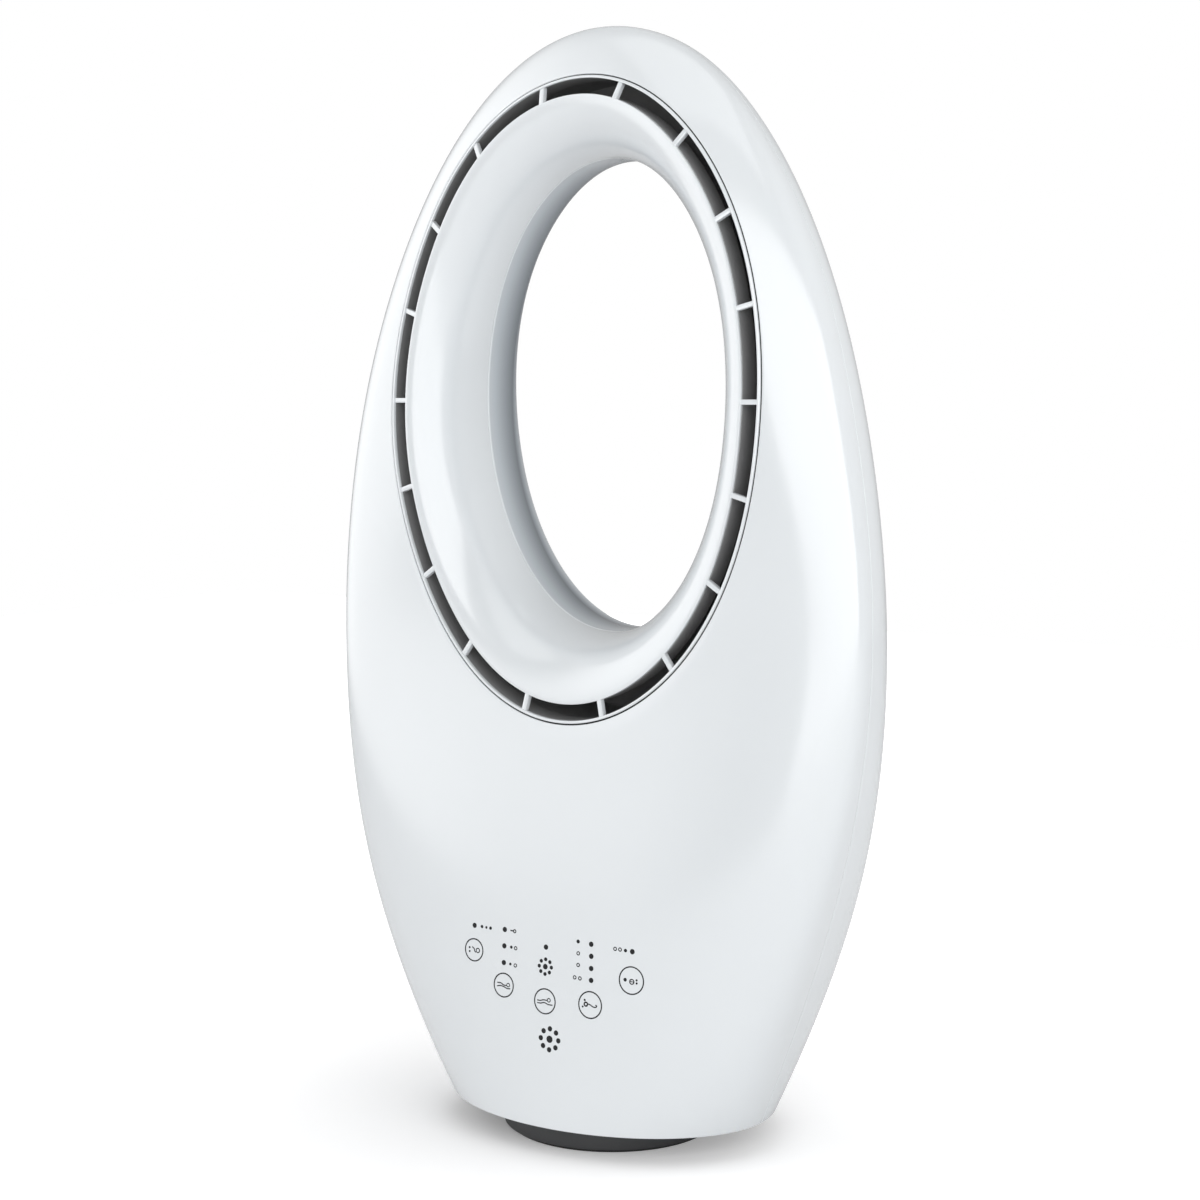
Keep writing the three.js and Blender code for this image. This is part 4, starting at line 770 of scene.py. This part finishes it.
def trough_section(angle):
    """Dark channel behind the slot: outer wall, back wall and inner wall, about 2 mm thick."""
    outer = SLOT_HALF + TROUGH_REACH
    corner_x, corner_z = ring_spot(angle, 1, outer)
    back = min(TROUGH_BACK, skin_y(corner_x, corner_z, 1) - WALL - TROUGH_CLEARANCE)
    front = front_point(angle, 1, outer, TROUGH_FRONT).y
    spots = []
    for across, offset, y in (
        (1, outer, front),
        (1, outer, back - 6),
        (1, outer - 1.8, back - 1.8),
        (1, outer - 6, back),
        (0, TROUGH_INNER, back),
        (0, TROUGH_INNER, TROUGH_INNER_FRONT),
        (0, 5.8, TROUGH_INNER_FRONT),
        (0, 5.8, back - 2),
        (1, outer - 7, back - 2),
        (1, outer - 3.4, back - 3.4),
        (1, outer - 2, back - 7),
        (1, outer - 2, front),
    ):
        x, z = ring_spot(angle, across, offset)
        spots.append(Vector((x, y, z)))
    return spots


def collar_section(near, far):
    """Thin dark wall that carries the channel on behind the slot's white edge."""

    def section(angle):
        return [
            front_point(angle, 1, near, COLLAR_FRONT),
            front_point(angle, 1, near, COLLAR_REAR),
            front_point(angle, 1, far, COLLAR_REAR),
            front_point(angle, 1, far, COLLAR_FRONT),
        ]

    return section


channel_parts = [
    sweep(trough_section),
    sweep(collar_section(SLOT_HALF + COLLAR_CLEARANCE, SLOT_HALF + COLLAR_WALL)),
    sweep(collar_section(-SLOT_HALF - COLLAR_CLEARANCE, -SLOT_HALF - COLLAR_WALL)),
]
piece("air_channel_skin", joined(channel_parts), trough, stands_for=["air_channel"])


GAP_SHADOW_CLEARANCE = 0.02


def gap_shadow_section(angle):
    """Painted shadow: thin dark strip in the gap between the lip and the front shell, set back from their
    faces, where only shade falls.
    """
    near, far = SLOT_HALF + LIP + GAP_SHADOW_CLEARANCE, SLOT_HALF + LIP + REVEAL - GAP_SHADOW_CLEARANCE
    front, rear = 0.7, 2.2
    corners = ((near, front), (near, rear), (far, rear), (far, front))
    return [front_point(angle, 1, offset, behind) for offset, behind in corners]


# Painted shadow: a dark strip in the rubber's colour that darkens the gap round the lip
piece("painted_gap_shadow", sweep(gap_shadow_section), rubber)


# ---- Base ----

BASE_RADIUS, BASE_FOOT_Z, BASE_TOP_Z, BASE_WALL = 60, 1.9, 12, 2.5
HUB_BORE, HUB_RADIUS, HUB_FOOT_Z, HUB_TOP_Z = 8, 21.5, 4.4, 17.5
PAD_RADIUS, PAD_BORE, PAD_TOP_Z = 57, 0.5, 1.6
BASE_SOFT, PAD_SOFT = 0.9, 0.4
ceiling, inside = BASE_TOP_Z - BASE_WALL, BASE_RADIUS - BASE_WALL

base_outline = rounded([
    (HUB_BORE, HUB_FOOT_Z),
    (HUB_RADIUS, HUB_FOOT_Z),
    (HUB_RADIUS, ceiling),
    (inside, ceiling),
    (inside, BASE_FOOT_Z),
    (BASE_RADIUS, BASE_FOOT_Z),
    (BASE_RADIUS, BASE_TOP_Z),
    (HUB_RADIUS, BASE_TOP_Z),
    (HUB_RADIUS, HUB_TOP_Z),
    (HUB_BORE, HUB_TOP_Z),
], BASE_SOFT)
base_mesh = lathe(base_outline, sides=160)
piece("base_cover_skin", base_mesh, charcoal, body="base", stands_for=["base_cover"])
pad_outline = rounded(
    [(PAD_BORE, 0), (PAD_RADIUS, 0), (PAD_RADIUS, PAD_TOP_Z), (PAD_BORE, PAD_TOP_Z)], PAD_SOFT
)
pad_mesh = lathe(pad_outline, sides=128)
piece("foot_pad_skin", pad_mesh, rubber, body="base", stands_for=["foot_pad"])


# ---- Rear details ----

GRILLE_SIDES = 192
BAR_PITCH, BAR_OPENING, BAR_STEPS = 13.0, 7.5, 14
BAR_SINK = 0.12  # how far the bars lie below the frame


def grille_mesh():
    """Oval frame and upright bars that follow the rear skin."""
    half_x, half_z, centre, square = GRILLE
    rim, deep, soft = 5.0, 4.4, 0.5
    frame_loops = []
    for inset, depth in bar_section(0, rim, deep, soft):
        loop = []
        for i in range(GRILLE_SIDES):
            c, s = oval_spot(TURN * i / GRILLE_SIDES, square)
            loop.append(on_skin((half_x - inset) * c, centre + (half_z - inset) * s, 1, -depth))
        frame_loops.append(loop)
    parts = [skin_loops(frame_loops)]
    half = (BAR_PITCH - BAR_OPENING) / 2
    section = bar_section(-half, half, deep, soft)
    columns = int(2 * (half_x - rim) / BAR_PITCH)
    for k in range(columns + 1):
        x = (k - columns / 2) * BAR_PITCH
        if abs(x) > half_x - rim:
            continue
        across = min(1, abs(x) / (half_x - rim * 0.5))
        reach = (half_z - rim * 0.5) * (1 - across**square) ** (1 / square)
        bar_loops = []
        for i in range(BAR_STEPS + 1):
            z = centre - reach + 2 * reach * i / BAR_STEPS
            bar_loops.append([on_skin(x + a, z, 1, -d - BAR_SINK) for a, d in section])
        parts.append(closed_bar(bar_loops))
    return joined(parts)


piece("intake_grille_skin", grille_mesh(), white, stands_for=["intake_grille"])


def turned_y(profile, x, z, sides=48):
    """Closed profile of (radius, y) points turned about an axis along Y."""
    loops = []
    for radius, y in profile:
        loops.append([
            Vector((x + radius * math.cos(TURN * i / sides), y, z + radius * math.sin(TURN * i / sides)))
            for i in range(sides)
        ])
    return skin_loops(loops)


inlet_face = skin_y(INLET_X + INLET_RADIUS, INLET_Z, 1) + 1
socket_radius, pin_radius, axis = 3.2, 0.9, 0.01  # axis keeps the points just off the middle line
inlet_outline = rounded([
    (axis, inlet_face - 14),
    (INLET_RADIUS, inlet_face - 14),
    (INLET_RADIUS, inlet_face),
    (socket_radius, inlet_face),
    (socket_radius, inlet_face - 11),
    (axis, inlet_face - 11),
], 0.4)
pin_outline = rounded([
    (axis, inlet_face - 12),
    (pin_radius, inlet_face - 12),
    (pin_radius, inlet_face - 3),
    (axis, inlet_face - 3),
], 0.3)
inlet_mesh = turned_y(inlet_outline, INLET_X, INLET_Z)
piece("power_inlet_skin", inlet_mesh, black, stands_for=["power_inlet"])
piece("power_inlet_pin", turned_y(pin_outline, INLET_X, INLET_Z, 24), steel)


# ---- Printed touch panel ----

INK_LIFT, INK_SINK = 0.03, -0.05  # the print's face and foot above the skin
KEY_WIDTH, CURVE_WIDTH, CURVE_STEPS = 0.72, 0.62, 5
LAMP_RADIUS, SMALL_RING, SMALL_WIDTH = 1.42, 0.85, 0.56


def flat_ring(x, z, radius, width, sides=72):
    """Printed ring, lying on the front skin."""
    loops = []
    for r, lift in (
        (radius - width / 2, INK_SINK), (radius - width / 2, INK_LIFT),
        (radius + width / 2, INK_LIFT), (radius + width / 2, INK_SINK),
    ):
        loop = []
        for i in range(sides):
            a = TURN * i / sides
            loop.append(on_skin(x + r * math.cos(a), z + r * math.sin(a), -1, lift))
        loops.append(loop)
    return skin_loops(loops)


def flat_dot(x, z, radius, sides=20):
    """Printed dot, lying on the front skin."""
    loops = []
    for lift in (INK_SINK, INK_LIFT):
        loop = []
        for i in range(sides):
            a = TURN * i / sides
            loop.append(on_skin(x + radius * math.cos(a), z + radius * math.sin(a), -1, lift))
        loops.append(loop)
    return closed_bar(loops)


def flat_line(points, width):
    """Printed line through the points, lying on the front skin."""
    spots = [Vector((x, 0, z)) for x, z in points]
    loops = []
    for i, spot in enumerate(spots):
        ahead, behind = spots[min(i + 1, len(spots) - 1)], spots[max(i - 1, 0)]
        along = (ahead - behind).normalized()
        side = Vector((-along.z, 0, along.x)) * width / 2
        section = ((1, INK_SINK), (1, INK_LIFT), (-1, INK_LIFT), (-1, INK_SINK))
        loops.append([on_skin(spot.x + side.x * s, spot.z + side.z * s, -1, lift) for s, lift in section])
    return closed_bar(loops)


def flat_curve(points):
    """Printed line that runs smoothly through the points."""
    spots = [Vector(p) for p in points]
    spots = [spots[0] * 2 - spots[1]] + spots + [spots[-1] * 2 - spots[-2]]
    path = []
    for a, b, c, d in zip(spots, spots[1:], spots[2:], spots[3:]):
        for i in range(CURVE_STEPS):
            t = i / CURVE_STEPS
            straight = b * 2 + (c - a) * t
            path.append((straight + (a * 2 - b * 5 + c * 4 - d) * t**2 + (b * 3 - a - c * 3 + d) * t**3) / 2)
    return flat_line([tuple(p) for p in path + [spots[-2]]], CURVE_WIDTH)


def flower(x, z, radius, dot, heart):
    """A dot with eight smaller ones in a ring round it."""
    petals = 8
    dots = [flat_dot(x, z, heart)]
    for k in range(petals):
        a = TURN * k / petals
        dots.append(flat_dot(x + radius * math.cos(a), z + radius * math.sin(a), dot))
    return dots


def key_curve(key, *points):
    """Printed curve whose points are counted from the key's middle."""
    return flat_curve([(key[0] + a, key[1] + b) for a, b in points])


def key_dot(key, a, b, radius):
    return flat_dot(key[0] + a, key[1] + b, radius)


def key_ring(key, a, b, radius, width, sides):
    return flat_ring(key[0] + a, key[1] + b, radius, width, sides)


# (x, z, radius) of the five key rings, from the left
KEYS = [(-48.1, 103.4, 6.0), (-27.2, 87.2, 6.35), (0.0, 82.4, 6.6), (28.5, 84.5, 7.0), (52.8, 100.6, 7.15)]
prints = [flat_ring(x, z, radius, KEY_WIDTH) for x, z, radius in KEYS]
# Key 1: two dots, a loop and a stroke
key = KEYS[0]
prints += [key_dot(key, -3.1, 1.0, 0.6), key_dot(key, -3.0, -1.1, 0.6), key_ring(key, 2.6, 0, 1.15, 0.6, 28)]
prints += [key_curve(key, (-1.4, 1.6), (0.1, 0.6), (0.4, -0.5), (1.3, -1.3))]
# Keys 2 and 3: two waves, the upper one with a curled end
key = KEYS[1]
prints += [key_curve(key, (-4.3, 0.9), (-2, 1.0), (0, 0.1), (2, 0.1))]
prints += [key_curve(key, (-4.4, -1.0), (-1.9, -0.5), (0.5, -0.9), (2.3, -1.5), (4.4, -1.4))]
prints += [flat_ring(key[0] + 2 + 1.0, key[1] + 0.1 + 0.3, 0.95, 0.5, 28)]
key = KEYS[2]
prints += [key_curve(key, (-5, 0.1), (-2.9, 0.1), (-0.8, 0.7), (1.5, 0.6))]
prints += [key_curve(key, (-4.9, -1.3), (-2.6, -1.3), (-0.4, -0.7), (2.2, -1.4), (5, -1.4))]
prints += [flat_ring(key[0] + 1.5 + 1.0, key[1] + 0.6 + 0.3, 0.95, 0.5, 28)]
# Key 4: a small head with a wavy tail and two dots
key = KEYS[3]
prints += [key_ring(key, -2.6, 0.1, 1.0, 0.85, 28)]
prints += [key_dot(key, -3.4, 2.2, 0.6), key_dot(key, -4.5, -1.4, 0.55)]
prints += [key_curve(key, (-1.4, 0.4), (-0.2, 0.2), (1.7, -0.7), (3.4, -0.8), (4.1, -0.1), (3.3, 0.4))]
# Key 5: a dot, a ring with a bar and two small dots
key = KEYS[4]
prints += [key_dot(key, -3.7, 0, 1.0), key_ring(key, 0.3, -0.6, 1.25, 0.6, 32)]
prints += [flat_line([(key[0] - 0.7, key[1] - 0.6), (key[0] + 1.3, key[1] - 0.6)], 0.5)]
prints += [key_dot(key, 3.1, 0.5, 0.6), key_dot(key, 3.2, -1.1, 0.6)]

prints += flower(-0.7, 100.8, 3.9, 1.05, 1.5)
prints += flower(4.0, 62.7, 5.6, 1.42, 1.95)
lamps = [(-48.4, 116.7), (-28.1, 117.1), (-27.9, 108.3), (-27.7, 99.3), (-0.9, 111.2)]
lamps += [(27.5, 116.4), (27.9, 110.1), (28.2, 103.7), (28.5, 97.5), (52.7, 115.7)]
prints += [flat_dot(x, z, LAMP_RADIUS) for x, z in lamps]
small_dots = [(-43.4, 116.7, 0.9), (-40.4, 116.6, 0.75), (-37.6, 116.6, 0.9), (-23.3, 108.2, 0.85)]
small_dots += [(-23.4, 99.1, 0.8), (19.3, 116.8, 1.05), (48.6, 115.8, 0.95)]
prints += [flat_dot(*dot) for dot in small_dots]
small_rings = [(-20.4, 108.0), (-20.1, 98.8), (19.7, 110.6), (20.0, 104.5)]
small_rings += [(18.2, 97.7), (21.5, 97.6), (42.3, 115.9), (45.3, 115.9)]
prints += [flat_ring(x, z, SMALL_RING, SMALL_WIDTH, 24) for x, z in small_rings]
prints += [flat_line([(-24.4, 117.1), (-22.2, 117.0)], 0.75), flat_ring(-21.6, 117.0, 0.8, 0.6, 24)]
piece("panel_print", joined(prints), ink)


# ---- Stage, light and camera ----

FLOOR_COLOR, FLOOR_REACH = (0.86, 0.86, 0.865), 2.4
# Painted shadow: the camera sees the floor lifted less near this centre, so round the object's foot it stays
# darker
FLOOR_CENTRE = (-0.05, -0.032, 0)  # of the lift, under the object
FLOOR_LIFTS = ((0.03, 0.17, 0.14, 0.35), (0.17, 0.8, 0.0, 0.42))
CAMERA_LIGHT = 1.0  # the room's brightness as the camera sees it
# Soft glows of the room: (direction, cosine at the edge, cosine at the middle, light outside, light inside)
GLOWS = (
    ((-0.925, -0.337, 0.17), 0.58, 0.97, 0.2, 1.95),  # left; its 0.2 also lights the whole room evenly
    ((0.8, 0.58, 0.12), 0.5, 0.95, 0.0, 0.3),  # behind on the right
    ((0.0, 0.75, 0.65), 0.1, 0.95, 0.0, 0.32),  # high behind
)
# The photograph's camera, fitted: place in millimetres and its three directions
CAMERA_PLACE = (678.7, -1065.4, 410.4)
CAMERA_RIGHT, CAMERA_UP = (0.8406, 0.5417, 0), (-0.05054, 0.07843, 0.99564)
CAMERA_TOWARD = (-0.5393, 0.8369, -0.0933)
CAMERA_LENS, CAMERA_SENSOR = 69.37, 36.0


def backdrop_material(name, color, centre, lifts):
    """Pale surface that the camera sees lifted, less near the centre, which paints shadow round it; lifts
    are (distance from, to, lift from, to).
    """
    material = bpy.data.materials.new(name)
    material.use_nodes = True
    tree = material.node_tree
    shader = tree.nodes["Principled BSDF"]
    shader.inputs["Base Color"].default_value = (*color, 1)
    shader.inputs["Roughness"].default_value = 0.9
    shader.inputs["Specular IOR Level"].default_value = 0.1
    rays = tree.nodes.new("ShaderNodeLightPath")
    coordinates = tree.nodes.new("ShaderNodeTexCoord")
    distance = tree.nodes.new("ShaderNodeVectorMath")
    distance.operation = "LENGTH"
    offset = tree.nodes.new("ShaderNodeVectorMath")
    offset.operation = "SUBTRACT"
    offset.inputs[1].default_value = centre
    tree.links.new(coordinates.outputs["Object"], offset.inputs[0])
    tree.links.new(offset.outputs["Vector"], distance.inputs[0])
    total = tree.nodes.new("ShaderNodeMath")
    total.operation = "ADD"
    for socket, limits in zip(total.inputs, lifts):
        lift = tree.nodes.new("ShaderNodeMapRange")
        for limit_name, value in zip(("From Min", "From Max", "To Min", "To Max"), limits):
            lift.inputs[limit_name].default_value = value
        tree.links.new(distance.outputs["Value"], lift.inputs["Value"])
        tree.links.new(lift.outputs["Result"], socket)
    glow = tree.nodes.new("ShaderNodeEmission")
    strength = tree.nodes.new("ShaderNodeMath")
    strength.operation = "MULTIPLY"
    tree.links.new(total.outputs["Value"], strength.inputs[1])
    tree.links.new(rays.outputs["Is Camera Ray"], strength.inputs[0])
    tree.links.new(strength.outputs["Value"], glow.inputs["Strength"])
    both = tree.nodes.new("ShaderNodeAddShader")
    tree.links.new(shader.outputs["BSDF"], both.inputs[0])
    tree.links.new(glow.outputs["Emission"], both.inputs[1])
    tree.links.new(both.outputs["Shader"], tree.nodes["Material Output"].inputs["Surface"])
    return material


floor_mesh = bpy.data.meshes.new("floor")
floor_corners = [(x * FLOOR_REACH, y * FLOOR_REACH, 0) for x, y in ((-1, -1), (1, -1), (1, 1), (-1, 1))]
floor_mesh.from_pydata(floor_corners, [], [(0, 1, 2, 3)])
floor = bpy.data.objects.new("floor", floor_mesh)
bpy.context.scene.collection.objects.link(floor)
floor_mesh.materials.append(backdrop_material("floor_pale", FLOOR_COLOR, FLOOR_CENTRE, FLOOR_LIFTS))

world = bpy.data.worlds.new("studio")
bpy.context.scene.world = world
world.use_nodes = True
tree = world.node_tree
background = tree.nodes["Background"]
background.inputs["Color"].default_value = (1, 1, 1, 1)
# The glows are added up; the camera sees plain white instead
coordinates = tree.nodes.new("ShaderNodeTexCoord")
room = None
for direction, edge, middle, low, high in GLOWS:
    toward_glow = tree.nodes.new("ShaderNodeVectorMath")
    toward_glow.operation = "DOT_PRODUCT"
    toward_glow.inputs[1].default_value = Vector(direction).normalized()
    tree.links.new(coordinates.outputs["Generated"], toward_glow.inputs[0])
    glow = tree.nodes.new("ShaderNodeMapRange")
    glow.interpolation_type = "SMOOTHSTEP"
    glow.inputs["From Min"].default_value = edge
    glow.inputs["From Max"].default_value = middle
    glow.inputs["To Min"].default_value = low
    glow.inputs["To Max"].default_value = high
    tree.links.new(toward_glow.outputs["Value"], glow.inputs["Value"])
    if room is None:
        room = glow.outputs["Result"]
        continue
    total = tree.nodes.new("ShaderNodeMath")
    total.operation = "ADD"
    tree.links.new(room, total.inputs[0])
    tree.links.new(glow.outputs["Result"], total.inputs[1])
    room = total.outputs["Value"]
rays = tree.nodes.new("ShaderNodeLightPath")
level = tree.nodes.new("ShaderNodeMapRange")
level.inputs["To Max"].default_value = CAMERA_LIGHT
tree.links.new(rays.outputs["Is Camera Ray"], level.inputs["Value"])
tree.links.new(room, level.inputs["To Min"])
tree.links.new(level.outputs["Result"], background.inputs["Strength"])


def area_light(name, place, target, width, height, power):
    """Soft rectangular lamp at a place, turned to a target; power in watts."""
    light = bpy.data.lights.new(name, "AREA")
    light.shape = "RECTANGLE"
    light.size, light.size_y = width, height
    light.energy = power
    obj = bpy.data.objects.new(name, light)
    obj.location = place
    obj.rotation_euler = (Vector(target) - Vector(place)).to_track_quat("-Z", "Y").to_euler()
    bpy.context.scene.collection.objects.link(obj)


area_light("right_softbox", (1.65, -1.44, 0.95), (0, 0, 0.45), width=4.8, height=1.9, power=55)
area_light("top_softbox", (0.2, -0.3, 1.9), (0, 0, 0.3), width=1.6, height=1.2, power=4)

camera_data = bpy.data.cameras.new("camera")
camera_data.lens = CAMERA_LENS
camera_data.sensor_width = CAMERA_SENSOR
camera_data.clip_start = 0.01
camera_data.clip_end = 100
camera = bpy.data.objects.new("camera", camera_data)
bpy.context.scene.collection.objects.link(camera)
bpy.context.scene.camera = camera
turn = Matrix((Vector(CAMERA_RIGHT), Vector(CAMERA_UP), -Vector(CAMERA_TOWARD))).transposed().to_4x4()
camera.matrix_world = Matrix.Translation(Vector(CAMERA_PLACE) * MM) @ turn

bpy.context.scene.view_settings.view_transform = "Standard"
